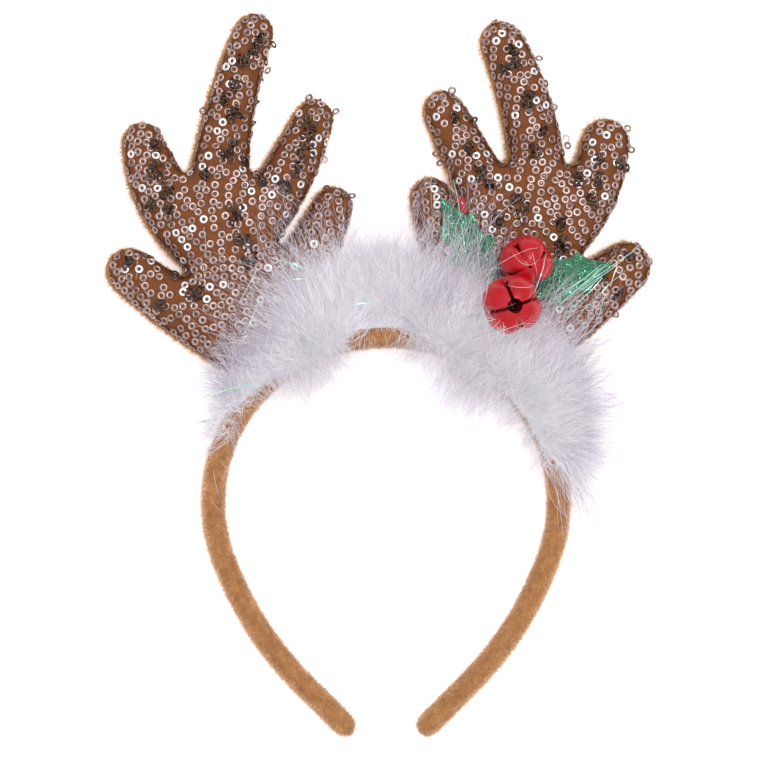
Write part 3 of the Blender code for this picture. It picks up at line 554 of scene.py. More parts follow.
def band_spot(distance):
    """Centre and outward direction at a distance along the band from the crown, negative to the left."""
    left, turned, point = abs(float(distance)), 0.0, Vector((0, 0))
    for radius, sweep in BAND_ARCS:
        turn = min(left / radius, sweep)
        centre = point - radius * Vector((math.sin(turned), math.cos(turned)))
        turned += turn
        point = centre + radius * Vector((math.sin(turned), math.cos(turned)))
        left -= turn * radius
    point += left * Vector((math.cos(turned), -math.sin(turned)))
    side = math.copysign(1, distance)
    return (side * point.x, point.y, side * math.sin(turned), math.cos(turned))


LINE_PLACES = np.linspace(-BAND_HALF, BAND_HALF, 901)
LINE = np.array([band_spot(s) for s in LINE_PLACES.tolist()])


def along_band(places, across, heights):
    """Points at these distances along the band, out from its middle line and up from the table."""
    x, y, out_x, out_y = (np.interp(places, LINE_PLACES, LINE[:, i]) for i in range(4))
    return np.stack([x + across * out_x, y + across * out_y, heights + 0 * x], 1)


def outward_at(places):
    return unit(np.stack([np.interp(places, LINE_PLACES, LINE[:, 2]),
                          np.interp(places, LINE_PLACES, LINE[:, 3]), 0 * places], 1))


def nearest_on_band(points):
    """For each point: the distance along the band, and how far out from its middle line it lies."""
    gaps = ((points[:, None, :2] - LINE[None, ::3, :2]) ** 2).sum(2)
    index = gaps.argmin(1) * 3
    across = ((points[:, :2] - LINE[index, :2]) * LINE[index, 2:]).sum(1)
    return LINE_PLACES[index], across


print("band length in mm:", round(2 * BAND_HALF / MM, 1))

# %% [markdown]
# The tube is lofted through rounded rings, flat where it lies on the table, and it closes in a soft end. Plush
# pulled round a bend gathers a little, so the rings swell and shrink by a slow noise. The pile on it is made
# of about fifty thousand short strips. They lean along the band and outward, as pile does after packing, and
# the locks of the tree's coarse noise give the crushed streaks that plush shows.

# %% The band's plush tube
BAND_RING_SIDES = 28
BAND_RING_STEP = 2.0 * MM
PILE_INSET = 0.55 * MM
TIP_ROUND = 5.0 * MM
TUBE_FLAT = 0.0006


def tube_ring(place, size):
    swell = 1 + 0.025 * noise.noise(Vector((place * 60, 3.1, 0)))
    middle = BAND_DEPTH / 2
    angles = np.arange(BAND_RING_SIDES) * 2 * math.pi / BAND_RING_SIDES
    across = (BAND_THICK / 2 - PILE_INSET) * np.cos(angles) * size * swell
    heights = middle + (BAND_DEPTH / 2 - PILE_INSET * 0.5) * np.sin(angles) * size * swell
    return along_band(np.full(BAND_RING_SIDES, place), across, np.maximum(heights, TUBE_FLAT))


def lofted(name, rings):
    """A closed mesh through rings of points, with both ends capped."""
    sides = len(rings[0])
    points = [tuple(p) for ring in rings for p in ring]
    faces = []
    for row in range(len(rings) - 1):
        for i in range(sides):
            j = (i + 1) % sides
            low, high = row * sides, (row + 1) * sides
            faces.append((low + i, low + j, high + j, high + i))
    faces += [tuple(range(sides))[::-1], tuple(range(len(points) - sides, len(points)))]
    mesh = bpy.data.meshes.new(name)
    mesh.from_pydata(points, [], faces)
    outward_faces(mesh)
    mesh.shade_smooth()
    return mesh


def outward_faces(mesh):
    shape = bmesh.new()
    shape.from_mesh(mesh)
    bmesh.ops.remove_doubles(shape, verts=shape.verts, dist=0.002 * MM)
    bmesh.ops.recalc_face_normals(shape, faces=shape.faces)
    shape.to_mesh(mesh)
    shape.free()


straight = BAND_HALF - TIP_ROUND
places = list(np.linspace(-straight, straight, round(2 * straight / BAND_RING_STEP)))
sizes = [1.0] * len(places)
for k in range(1, 9):
    turn = k / 8 * math.pi / 2
    size = max(math.cos(turn), 0.04)
    places = [-straight - math.sin(turn) * TIP_ROUND] + places + [straight + math.sin(turn) * TIP_ROUND]
    sizes = [size] + sizes + [size]
band_mesh = lofted("band_plush_tube", [tube_ring(s, size) for s, size in zip(places, sizes)])
band = piece("band_plush_tube", band_mesh, plush_ground, ["headband"])

BAND_FIBRES = 52000
BAND_PILE = 1.35 * MM
PILE_WIDTH = 0.17 * MM
STROKE = 1.5 * MM


def pile(name, mesh, count, length, seed, kept, tone, chosen, nap=None, longer=None):
    """Short plush over a mesh. kept weights its faces and chosen picks roots by their normals; tone and longer
    give each fibre's shade and length, and nap the way in which it leans."""
    chance = np.random.default_rng(seed)
    roots, normals = scattered(mesh, count, chance, kept)
    stays = chosen(normals)
    roots, normals = roots[stays], normals[stays]
    count = len(roots)
    lean = chance.normal(0, 0.36, (count, 3)) + (0 if nap is None else nap(roots))
    lengths = length * chance.uniform(0.6, 1.15, count) * (1 if longer is None else longer(normals))
    lengths = lengths[:, None]
    reach = unit(normals + lean) * lengths
    side = unit(np.cross(reach, normals + chance.normal(0, 0.8, (count, 3))))
    shade = np.clip(tone(roots) + chance.normal(0, 0.27, count), 0, 1)
    return strips(name, short_strip, roots - normals * 0.1 * MM, reach, 0 * reach, side, shade, plush_pile,
                  "tan_plush", Width=PILE_WIDTH, Taper=0.9, Lock_Size=2.2 * MM, Lock_Sway=0.9,
                  Curl_Size=0.6 * MM, Curl_Sway=0.5, Lowest=0.02 * MM)


def band_nap(points):
    places, _ = nearest_on_band(points)
    outward = outward_at(places)
    downward = np.stack([outward[:, 1], -outward[:, 0], 0 * places], 1) * np.sign(places)[:, None]
    return 0.45 * downward


def band_tone(points):
    """Painted light and shade across the tube: the middle is darker and both flanks lighter, with streaks and
    small slanting strokes of crushed pile along the middle.
    """
    places, across = nearest_on_band(points)
    streaks = np.array([noise.noise(Vector((s * 130, a * 520, z * 400)))
                        for s, a, z in zip(places.tolist(), across.tolist(), points[:, 2].tolist())])
    strokes = np.sin(2 * math.pi * (np.abs(places) / STROKE + np.abs(across + 0.8 * MM) / (1.3 * STROKE)))
    # Painted light: the pile is lighter towards both flanks, where light comes round the tube.
    painted_flank_shading = np.clip((np.abs(across + 0.8 * MM) / (BAND_THICK / 2) - 0.25) / 0.65, 0, 1) ** 1.5
    return 0.14 + 0.75 * streaks + 0.16 * strokes * (1 - painted_flank_shading) + 0.85 * painted_flank_shading


pile("band_plush_pile", band_mesh, BAND_FIBRES, BAND_PILE, 11, kept=None, tone=band_tone,
     chosen=lambda normals: normals[:, 2] > -0.75, nap=band_nap)

# %% [markdown]
# Each antler is a small cushion: a brown satin front and a tan plush back, sewn edge to edge and stuffed. The
# CAD halves give its pattern and its fullness, but in flat facets. A copy of each half is remeshed in small
# even faces and smoothed. The front is then blown up a little by Blender's Cloth with its edge held, which
# gives it the tight, slightly puckered skin of a stuffed toy. How far a point may move is capped, so the
# cushion stays in the room that its CAD solid holds.

# %% Helpers: even copies of CAD halves
SEAM_HEIGHT = 6.5 * MM
SKIN_STEP = 1.15 * MM
SMOOTHING = 9


def applied(obj):
    """The object's mesh with all its modifiers applied."""
    mesh = bpy.data.meshes.new_from_object(obj.evaluated_get(bpy.context.evaluated_depsgraph_get()))
    obj.modifiers.clear()
    return mesh


def even_copy(node, name, step, smoothing, held=None):
    """A CAD node's shape in even small faces. held says which points keep their height."""
    mesh = NODES[node].data.copy()
    outward_faces(mesh)
    mesh.materials.clear()
    copy = bpy.data.objects.new(name, mesh)
    bpy.context.scene.collection.objects.link(copy)
    remesh = copy.modifiers.new("even", "REMESH")
    remesh.mode, remesh.voxel_size, remesh.use_smooth_shade = "VOXEL", step, True
    mesh = applied(copy)
    bpy.data.objects.remove(copy)
    shape = bmesh.new()
    shape.from_mesh(mesh)
    loose = [v for v in shape.verts if held is None or not held(v.co)]
    for _ in range(smoothing):
        bmesh.ops.smooth_vert(shape, verts=loose, factor=0.5, use_axis_x=True, use_axis_y=True, use_axis_z=True)
    bmesh.ops.recalc_face_normals(shape, faces=shape.faces)
    shape.to_mesh(mesh)
    shape.free()
    mesh.shade_smooth()
    mesh.name = name
    return mesh


def stuffed(mesh, held, cap, pressure, frames):
    """The mesh swollen by Blender's Cloth with its held points sewn down, moved by no more than the cap."""
    before = np.array([v.co[:] for v in mesh.vertices])
    toy = bpy.data.objects.new("stuffing", mesh.copy())
    bpy.context.scene.collection.objects.link(toy)
    toy.vertex_groups.new(name="sewn").add([v.index for v in mesh.vertices if held(v.co)], 1.0, "REPLACE")
    cloth = toy.modifiers.new("stuffing", "CLOTH")
    cloth.settings.vertex_group_mass = "sewn"
    cloth.settings.quality = 6
    cloth.settings.mass = 0.12
    cloth.settings.use_pressure = True
    cloth.settings.uniform_pressure_force = pressure
    cloth.settings.tension_stiffness = cloth.settings.compression_stiffness = 12
    cloth.settings.bending_stiffness = 0.4
    cloth.settings.effector_weights.gravity = 0
    for frame_number in range(1, frames + 1):
        bpy.context.scene.frame_set(frame_number)
    swollen = np.array([v.co[:] for v in applied(toy).vertices])
    bpy.data.objects.remove(toy)
    bpy.context.scene.frame_set(1)
    move = swollen - before
    far = np.linalg.norm(move, axis=1, keepdims=True)
    print("  stuffing moved the skin by up to", round(float(far.max()) / MM, 2), "mm")
    mesh.vertices.foreach_set("co", (before + move * np.minimum(1, cap / np.maximum(far, TINY))).ravel())
    mesh.update()
    return mesh


# %% The antlers' satin fronts and plush backs
STUFFING_CAP = 0.7 * MM
BACK_FIBRES, RIM_FIBRES = 40000, 9000
RIM_HEIGHT, RIM_SIDE = 2.3 * MM, -0.12
PUCKER = 0.22 * MM
fronts, backs = {}, {}


def front_held(spot):
    return spot.z < SEAM_HEIGHT + 0.6 * MM


def back_held(spot):
    return spot.z < 0.5 * MM or spot.z > SEAM_HEIGHT - 0.5 * MM


def puckered(mesh, low, high, seed):
    """Small gathers in the skin near the seam, where a stuffed pattern is pulled together."""
    for v in mesh.vertices:
        if low < v.co.z < high:
            near = 1 - abs(v.co.z - low) / (high - low)
            ripple = noise.noise(Vector((v.co.x, v.co.y, seed * MM)) * 420)
            v.co += v.normal * PUCKER * near * ripple
    mesh.update()


for side in ("left", "right"):
    front = even_copy(f"antler_{side}_face", f"antler_{side}_satin", SKIN_STEP, SMOOTHING, front_held)
    front = stuffed(front, front_held, STUFFING_CAP, 3.0, 16)
    puckered(front, SEAM_HEIGHT + 0.6 * MM, SEAM_HEIGHT + 6 * MM, 5)
    fronts[side] = piece(f"antler_{side}_satin", front, satin_ground, [f"antler_{side}_face"])
    back = even_copy(f"antler_{side}_back", f"antler_{side}_plush", SKIN_STEP, 4, back_held)
    backs[side] = piece(f"antler_{side}_plush", back, plush_ground, [f"antler_{side}_back"])
    print(side, "antler:", len(front.polygons), "faces in front,", len(back.polygons), "behind")


def tree_of(*objects):
    """One search tree over the meshes of several objects."""
    corners, faces = [], []
    for obj in objects:
        start = len(corners)
        corners += [v.co.copy() for v in obj.data.vertices]
        faces += [[start + i for i in p.vertices] for p in obj.data.polygons]
    return BVHTree.FromPolygons(corners, faces)


# %% [markdown]
# The tan plush of the back comes round the edge. It shows as a fuzzy rim on the left and upper sides of every
# tine, where the front was pulled over less far, and it is only a thin line on the other sides.

# %% The antlers' plush pile and rims
UP, DOWN = Vector((0, 0, 1)), Vector((0, 0, -1))
for side, seed in (("left", 21), ("right", 22)):
    cover = tree_of(fronts[side])

    def bare(spots):
        """Backs get pile where the front doesn't lie over them."""
        hidden = [cover.ray_cast(Vector(p) - 0.2 * MM * UP, UP, 3 * MM)[0] is not None and
                  p[2] > SEAM_HEIGHT - 0.5 * MM for p in spots]
        return 1.0 - np.array(hidden, float)

    def upper_rim(spots):
        return (spots[:, 2] < SEAM_HEIGHT + RIM_HEIGHT).astype(float)

    def light(spots):
        return 0.7 + 0 * spots[:, 2]

    pile(f"antler_{side}_pile", backs[side].data, BACK_FIBRES, 1.3 * MM, seed, kept=bare, tone=light,
         chosen=lambda normals: normals[:, 2] > -0.8,
         longer=lambda normals: 1 + 0.5 * (normals[:, 0] < 0.1))
    pile(f"antler_{side}_rim_pile", fronts[side].data, RIM_FIBRES, 1.1 * MM, seed + 5, kept=upper_rim, tone=light,
         chosen=lambda normals: normals[:, 0] < RIM_SIDE)

# %% [markdown]
# The front is sewn all over with ring sequins: punched foil, three millimetres wide with a hole half as wide.
# They run in wandering rows from the foot to the tips. On the real cloth a machine sews each row with one
# thread, so neighbours touch or overlap and the rows drift. Here a walker starts at many places, steps over
# the satin a sequin's width at a time, and stops where the cloth ends or where sequins already lie. In some
# patches the sequins stand on edge and show dark, with the loose thread between them.

# %% Walking the rows of sequins
SEQUIN_OUTER, SEQUIN_HOLE, SEQUIN_FOIL, SEQUIN_CUP = 3.2 * MM, 1.3 * MM, 0.09 * MM, 0.06 * MM
ROW_STEP, ROW_STEP_VARIATION = 3.15 * MM, 0.35 * MM
LEAST_APART = 2.78 * MM
ROW_STARTS = 2600
ROW_WANDER = math.radians(16)
BARE_EDGE = 1.5 * MM
DARK_PATCHES = {
    # place across and down the picture, and the patch's half length in mm
    "left": ((262, 40, 1.5), (226, 100, 1.4), (252, 160, 1.6), (263, 180, 1.6), (150, 205, 1.6), (128, 262, 1.4),
             (160, 305, 1.6), (207, 175, 1.4), (253, 51, 2.4), (243, 62, 2.2), (235, 87, 1.6), (235, 118, 3.4), (228, 152, 3.4), (310, 128, 3.6),
             (306, 152, 3.4), (298, 171, 1.8), (157, 171, 2.6), (167, 190, 2.4), (236, 216, 2.6), (285, 188, 1.8),
             (158, 143, 1.6), (243, 245, 2.6), (250, 262, 2.4), (195, 292, 3.0), (170, 212, 1.4)),
    "right": ((500, 70, 1.4), (545, 130, 1.4), (455, 118, 1.4), (470, 150, 1.6), (578, 180, 1.6), (560, 225, 1.8),
              (622, 165, 1.5), (628, 255, 1.4), (602, 275, 1.6), (497, 222, 1.8), (513, 48, 1.8), (514, 62, 2.2), (527, 92, 2.8), (526, 106, 1.8), (534, 152, 1.8), (479, 174, 1.8),
              (515, 205, 2.4), (591, 203, 2.4), (598, 182, 1.8), (522, 214, 2.4), (560, 246, 2.6),
              (600, 160, 1.6), (620, 296, 2.2), (489, 187, 1.4)),
}


def walked_rows(side, seed):
    """Places, normals and row directions of the sequins, and the steps between neighbours in a row."""
    chance = random.Random(seed)
    surface = tree_of(fronts[side])
    starts, normals = scattered(fronts[side].data, ROW_STARTS, np.random.default_rng(seed),
                                lambda spots: (spots[:, 2] > SEAM_HEIGHT + 0.7 * MM).astype(float))
    grid, sewn, threads = {}, [], []

    def cell(spot):
        return tuple(int(math.floor(x / LEAST_APART)) for x in spot)

    def on_cloth(spot, normal):
        return spot.z > SEAM_HEIGHT + (RIM_HEIGHT if normal.x < RIM_SIDE else BARE_EDGE)

    def free(spot, apart):
        cx, cy, cz = cell(spot)
        return not any((spot - sewn[i][0]).length < apart
                       for x in (cx - 1, cx, cx + 1) for y in (cy - 1, cy, cy + 1) for z in (cz - 1, cz, cz + 1)
                       for i in grid.get((x, y, z), ()))

    def sew(spot, normal, heading):
        grid.setdefault(cell(spot), []).append(len(sewn))
        sewn.append((spot, normal, heading))

    for start in starts:
        spot = Vector(start)
        heading = Vector((chance.gauss(0, 0.25), chance.choice((-1, 1)), 0))
        spot, normal, _, _ = surface.find_nearest(spot)
        if not on_cloth(spot, normal) or not free(spot, LEAST_APART):
            continue
        sew(spot, normal, heading)
        while True:
            heading.rotate(Matrix.Rotation(chance.gauss(0, ROW_WANDER), 3, "Z"))
            heading.y = math.copysign(max(abs(heading.y), 0.55), heading.y)
            step = ROW_STEP + chance.uniform(-ROW_STEP_VARIATION, ROW_STEP_VARIATION)
            ahead = (heading - normal * heading.dot(normal)).normalized() * step
            following, normal, _, _ = surface.find_nearest(spot + ahead)
            too_short = (following - spot).length < 0.8 * step
            if too_short or not on_cloth(following, normal) or not free(following, LEAST_APART):
                break
            threads.append((len(sewn) - 1, len(sewn)))
            sew(following, normal, heading.copy())
            spot = following
    return sewn, threads


rows = {side: walked_rows(side, seed) for side, seed in (("left", 31), ("right", 32))}
print("sequins:", {side: len(sewn) for side, (sewn, _) in rows.items()})

# %% [markdown]
# The foil is copper rose and a little rougher where it was handled. One number on each sequin changes its
# tone, and the few with the highest number are painted near white: painted glints, as if they mirrored the
# lamp. Another number darkens the ones on the flanks towards red brown, and the ones on edge in a dark patch
# towards black: painted shade.
# One ring is modelled, slightly cupped and with a real thickness, and a second small Geometry Nodes tree
# puts it at every place with its own turn.

# %% Foil, thread and the sequin tree
foil, foil_tree, foil_shader = principled("copper_rose_foil", Metallic=0.9)
foil_tone = use_group(foil_tree, dye_and_tip_light, Dark=(0.27, 0.17, 0.135, 1), Middle=(0.44, 0.295, 0.25, 1),
                      Light=(0.62, 0.45, 0.40, 1), Cloud_Size=4 * MM, Fibre=attribute(foil_tree, "chance"))
# Painted glint: the few sequins with the highest number get a near white colour.
gleaming = add(foil_tree, "ShaderNodeMath", {0: attribute(foil_tree, "chance"), 1: 0.88}, operation="GREATER_THAN")
foil_colour = mix_colour(foil_tree, gleaming.outputs[0], foil_tone.outputs["Color"], (0.98, 0.95, 0.93, 1))
# Painted shade: red brown for sequins on the flanks, near black for sequins on edge in a dark patch.
for darker, start in (((0.20, 0.075, 0.045, 1), 0.0), ((0.12, 0.088, 0.068, 1), 0.5)):
    past = add(foil_tree, "ShaderNodeMapRange", {"Value": attribute(foil_tree, "dark"), "From Min": start,
                                                 "From Max": start + 0.5})
    foil_colour = mix_colour(foil_tree, past.outputs[0], foil_colour, darker)
foil_tree.links.new(foil_colour, foil_shader.inputs["Base Color"])
foil_marks = use_group(foil_tree, marks, Size=0.8 * MM, Least=0.22, Most=0.4)
foil_tree.links.new(foil_marks.outputs["Roughness"], foil_shader.inputs["Roughness"])
dark_thread = pile_finish("dark_sewing_thread", (0.018, 0.010, 0.007), (0.05, 0.024, 0.014),
                          (0.19, 0.075, 0.038), 1.0 * MM, 0.0, Roughness=0.3, Coat_Weight=0.5)


def sequin_mesh(sides=14):
    """A cupped ring of foil with a closed section, four faces to a side."""
    hole, rim = SEQUIN_HOLE / 2, SEQUIN_OUTER / 2
    section = ((hole, 0.0), (rim, SEQUIN_CUP), (rim - 0.02 * MM, SEQUIN_CUP + SEQUIN_FOIL),
               (hole + 0.02 * MM, SEQUIN_FOIL))
    points = [(r * math.cos(t), r * math.sin(t), z) for t in np.arange(sides) * 2 * math.pi / sides
              for r, z in section]
    count = len(section)
    faces = [(i * count + k, (i + 1) % sides * count + k, (i + 1) % sides * count + (k + 1) % count,
              i * count + (k + 1) % count) for i in range(sides) for k in range(count)]
    mesh = bpy.data.meshes.new("ring_sequin")
    mesh.from_pydata(points, [], faces)
    outward_faces(mesh)
    return mesh


copy_tree = bpy.data.node_groups.new("copies_on_places", "GeometryNodeTree")
for label, kind in (("Places", "NodeSocketGeometry"), ("Shape", "NodeSocketObject"), ("Size", "NodeSocketFloat"),
                    ("Finish", "NodeSocketMaterial")):
    copy_tree.interface.new_socket(label, in_out="INPUT", socket_type=kind)
copy_tree.interface.new_socket("Copies", in_out="OUTPUT", socket_type="NodeSocketGeometry")
copy_in, copy_out = copy_tree.nodes.new("NodeGroupInput").outputs, copy_tree.nodes.new("NodeGroupOutput")
turn_read = add(copy_tree, "GeometryNodeInputNamedAttribute", {"Name": "turn"}, data_type="FLOAT_VECTOR")
size_read = add(copy_tree, "GeometryNodeInputNamedAttribute", {"Name": "size"}, data_type="FLOAT")
turned = add(copy_tree, "FunctionNodeEulerToRotation", {0: turn_read.outputs[0]})
scaled = add(copy_tree, "ShaderNodeMath", {0: size_read.outputs[0], 1: copy_in["Size"]}, operation="MULTIPLY")
shape_read = add(copy_tree, "GeometryNodeObjectInfo", {"Object": copy_in["Shape"]})
placed = add(copy_tree, "GeometryNodeInstanceOnPoints",
             {"Points": copy_in["Places"], "Instance": shape_read.outputs["Geometry"],
              "Rotation": turned.outputs[0], "Scale": scaled.outputs[0]})
made_real = add(copy_tree, "GeometryNodeRealizeInstances", {0: placed.outputs[0]})
painted = add(copy_tree, "GeometryNodeSetMaterial", {0: made_real.outputs[0], "Material": copy_in["Finish"]})
copy_tree.links.new(painted.outputs[0], copy_out.inputs[0])


def copies(name, shape, places, turns, sizes, finish, slot, **values):
    """A piece of many copies of one small shape, each with its own place, turn and size."""
    cloud_mesh = root_cloud(name + "_places", places, turn=turns, size=sizes, **values)
    mesh = baked(name, cloud_mesh, copy_tree, {"Shape": shape, "Size": 1.0, "Finish": finish}, set(values))
    made = piece(name, mesh, finish)
    print(f"{name}: {len(places)} copies, {sum(len(p.vertices) - 2 for p in mesh.polygons)} triangles")
    return made


def upright(normal, tilt, heading, spin):
    """Euler angles that turn +Z to the normal, then lean it by tilt towards a heading on the surface."""
    base = normal.to_track_quat("Z", "Y").to_matrix()
    lean = Matrix.Rotation(tilt, 3, Vector((-math.sin(heading), math.cos(heading), 0)))
    return (base @ lean @ Matrix.Rotation(spin, 3, "Z")).to_euler()


# %% Sewing the sequins on
FLAT_TILT, EDGE_TILT = math.radians(7), (math.radians(12), math.radians(62))
SEQUIN_LIFT = 0.18 * MM
FLANK = 0.6
TANGLES, EDGE_LOOPS = 6, 520
LOOSE_SEQUINS = {
    # places across and down the picture, where a sequin hangs loose over the edge or the cloth
    "left": ((274, 45), (268, 71), (309, 98), (336, 112), (324, 160), (203, 111), (352, 196),
             (186, 268), (279, 190), (291, 182)),
    "right": ((539, 59), (452, 91), (565, 139), (567, 146), (627, 129), (436, 154), (440, 164), (613, 313),
              (468, 216), (631, 150), (552, 108), (418, 196), (648, 262)),
}
ring = bpy.data.objects.new("ring_sequin", sequin_mesh())


def in_patch(side, spot):
    for across, down, half in DARK_PATCHES[side]:
        away = spot.xy - at(across, down)
        if (away.x / 0.8) ** 2 + away.y ** 2 < (half * MM) ** 2:
            return True
    return False


def sequins_and_thread(side, seed):
    sewn, steps = rows[side]
    surface = tree_of(fronts[side])
    chance = random.Random(seed)
    rings, threads = [], []

    def any_way(size):
        return Vector([chance.gauss(0, size) for _ in range(3)])

    def put(spot, normal, tilt, lift, dark, size=1.0, tone=None):
        rings.append((spot + normal * lift,
                      upright(normal, tilt, chance.uniform(0, 2 * math.pi), chance.uniform(0, 2 * math.pi)),
                      size * chance.uniform(0.96, 1.03), chance.random() if tone is None else tone, dark))

    def thread(root, reach, arch, normal, wide, tone):
        way = reach.cross(normal)
        threads.append((root, reach, arch, way.normalized() * wide if way.length > TINY else UP * wide, tone))

    for spot, normal, heading in sewn:
        # Sequins on edge in a dark patch are painted nearly black: painted shade.
        if in_patch(side, spot):
            put(spot, normal, chance.uniform(*EDGE_TILT), 0.7 * MM, chance.uniform(0.85, 1.0))
            continue
        # Sequins that face away from the top are painted darker and lose the painted glint: painted shade on the
        # flanks.
        painted_flank_shading = min(max((FLANK - normal.z) / FLANK, 0), 1) ** 0.5
        put(spot, normal, abs(chance.gauss(0, FLAT_TILT)), SEQUIN_LIFT + chance.random() * 0.14 * MM,
            0.62 * painted_flank_shading * chance.uniform(0.6, 1.2), tone=chance.random() * (1 if painted_flank_shading < 0.4 else 0.7))
        thread(spot - heading.normalized() * 0.6 * MM, heading.normalized() * 1.2 * MM, 0.08 * MM * normal, normal,
               2.2, chance.random())
    for first, second in steps:
        if chance.random() < 0.3:
            a, normal, _ = sewn[first]
            jitter = any_way(0.4 * MM)
            thread(a + normal * 0.3 * MM + jitter * 0.5, sewn[second][0] - a + jitter,
                   normal * chance.uniform(0.2, 0.6) * MM, normal, 0.8, chance.random())
    for across, down, half in DARK_PATCHES[side]:
        for k in range(TANGLES + int(half * 2)):
            away = Vector((chance.uniform(-0.9, 0.9), chance.uniform(-1.2, 1.2), 0)) * half * MM
            spot, normal, _, _ = surface.find_nearest(at(across, down).to_3d() + away + UP * 14 * MM)
            if k % 3 == 0:
                thread(spot + normal * 0.2 * MM, any_way(1.3 * MM), normal * chance.uniform(0.2, 0.8) * MM, normal,
                       1.2, chance.uniform(0, 1.3))
            else:
                put(spot, normal, chance.uniform(*EDGE_TILT), chance.uniform(0.3, 1.0) * MM,
                    chance.uniform(0.8, 1.0))
    seam_spots, seam_normals = scattered(
        fronts[side].data, EDGE_LOOPS, np.random.default_rng(seed),
        lambda spots: ((spots[:, 2] > SEAM_HEIGHT + 0.2 * MM) & (spots[:, 2] < SEAM_HEIGHT + 3.2 * MM)).astype(float))
    for spot, normal in zip(map(Vector, seam_spots), map(Vector, seam_normals)):
        if normal.x < RIM_SIDE and chance.random() < 0.92:
            continue
        along = normal.cross(UP).normalized() * chance.choice((-1, 1))
        thread(spot, along * chance.uniform(1.2, 3.0) * MM + any_way(0.4 * MM),
               normal * chance.uniform(0.1, 0.7) * MM + any_way(0.2 * MM), normal, 0.8, chance.uniform(0.8, 1.6))
        # A few sequins at the seam are painted darker: painted flank shade.
        if chance.random() < 0.05:
            put(spot, normal, chance.uniform(0.3, 1.3), 0.5 * MM, chance.uniform(0.35, 0.7))
    for across, down in LOOSE_SEQUINS[side]:
        place = at(across, down).to_3d() + UP * (SEAM_HEIGHT + 3.0 * MM)
        spot, normal, _, _ = surface.find_nearest(place)
        hung = place if (place.xy - spot.xy).length > 0.5 * MM else spot + normal * 1.0 * MM
        put(hung, UP, chance.uniform(0.2, 1.0), 0.0, 0.1, tone=chance.uniform(0.4, 1.0))
        thread(spot, hung - spot, any_way(0.4 * MM), UP, 0.8, 1.0)
    places, turns, sizes, tones, darks = zip(*rings)
    copies(f"antler_{side}_sequins", ring, places, turns, sizes, foil, "sequin_cloth", chance=tones, dark=darks)
    strips(f"antler_{side}_thread", even_strip, *zip(*threads), dark_thread, "sequin_cloth", Width=0.22 * MM,
           Taper=0.2, Lock_Size=1.0 * MM, Lock_Sway=0.0, Curl_Size=0.9 * MM, Curl_Sway=0.9, Lowest=0.2 * MM)


for side, seed in (("left", 41), ("right", 42)):
    sequins_and_thread(side, seed)

# %% [markdown]
# Marabou is the fluffy down of a feather, twisted on a thin cord, and it is what gives the headband its
# softness. Its look comes from depth: a dense heart, then shorter down, then long fine barbs, then a few
# single wisps that one hardly sees. The heart is the CAD trim, remeshed, smoothed and drawn in. The rest are
# strips from the tree. Each layer has its own rule for where it starts, how far it reaches and how high it
# bows, and all of them share a table that says how wide the trim is at each distance along the band.

# %% The trim's heart and its width along the band
HEART_INSET, HEART_SHARE, HEART_REACH = 9.0 * MM, 0.5, 0.7
TRIM_LEFT, TRIM_RIGHT = -77.0 * MM, 88.0 * MM
TRIM_WIDTHS = (
    # distance along the band, reach away from the head and towards it, height over the table, in mm
    (-77, 3, 1, 6), (-71, 9, 2, 8), (-64, 11, 3, 11), (-50, 10, 5, 14), (-39, 9, 8, 17), (-30, 16, 8, 17),
    (-22, 29, 6, 16), (-16, 38, 4, 13), (0, 41, 3, 9), (8, 37, 4, 11), (16, 30, 6, 15), (24, 27, 8, 17),
    (35, 26, 11, 19), (44, 25, 12, 18), (52, 27, 7, 17), (60, 28, 5, 16), (67, 25, 5, 14), (75, 19, 5, 12),
    (82, 13, 4, 9), (88, 7, 2, 7), (100, 5, 1, 6),
)
BARE = (
    # distance along the band, how much of the down stays away from the head and towards it, and how far out
    # from the band's middle line the change between the two lies, in mm
    (-86, 0.0, 0.0, 0), (-74, 0.1, 0.0, 0), (-64, 0.35, 0.0, 1.5), (-56, 0.8, 0.05, 2), (-48, 1.0, 0.15, 1),
    (-38, 1.0, 1.0, 0), (-18, 1.0, 1.0, 5), (-15, 1.0, 0.0, 6.5), (5, 1.0, 0.0, 7.0), (10, 1.0, 0.45, 5),
    (24, 1.0, 0.6, 0), (32, 1.0, 1.0, 0), (44, 1.0, 0.9, -1), (52, 1.0, 0.35, -1), (72, 1.0, 0.25, -1),
    (80, 0.6, 0.1, 1), (88, 0.25, 0.05, 2), (98, 0.0, 0.0, 3),
)
WIDTHS = np.array(TRIM_WIDTHS) * MM


def trim_at(places):
    """How far the trim reaches out and in, and how high it stands, at distances along the band."""
    return tuple(np.interp(places, WIDTHS[:, 0], WIDTHS[:, i]) for i in (1, 2, 3))


BARE_TABLE = np.array(BARE) * (MM, 1, 1, MM)


def edge_tone(places, across, chance):
    """Tone of each strip, painted light and shade: lighter towards the thin edge of the trim, where light
    shines through, darker and cool in its middle, and lighter and darker by tufts.
    """
    room, inner, _ = trim_at(places)
    out = (np.abs(across) - BAND_THICK / 2) / (np.where(across > 0, room, inner) + 2 * MM)
    tuft_shading = np.array([noise.noise(Vector((s * 160, a * 160, 0))) for s, a in zip(places.tolist(), across.tolist())])
    return np.clip(0.16 + 0.8 * np.clip(out, 0, 1) ** 1.3 + 0.55 * tuft_shading + chance.normal(0, 0.13, len(places)), 0, 1)


def down_left_on(places, across):
    """How much of the down the worn trim still has at a place along the band and a distance across it."""
    out, toward, border = (np.interp(places, BARE_TABLE[:, 0], BARE_TABLE[:, i]) for i in (1, 2, 3))
    return toward + (out - toward) * np.clip(0.5 + (across - border) / (3 * MM), 0, 1)


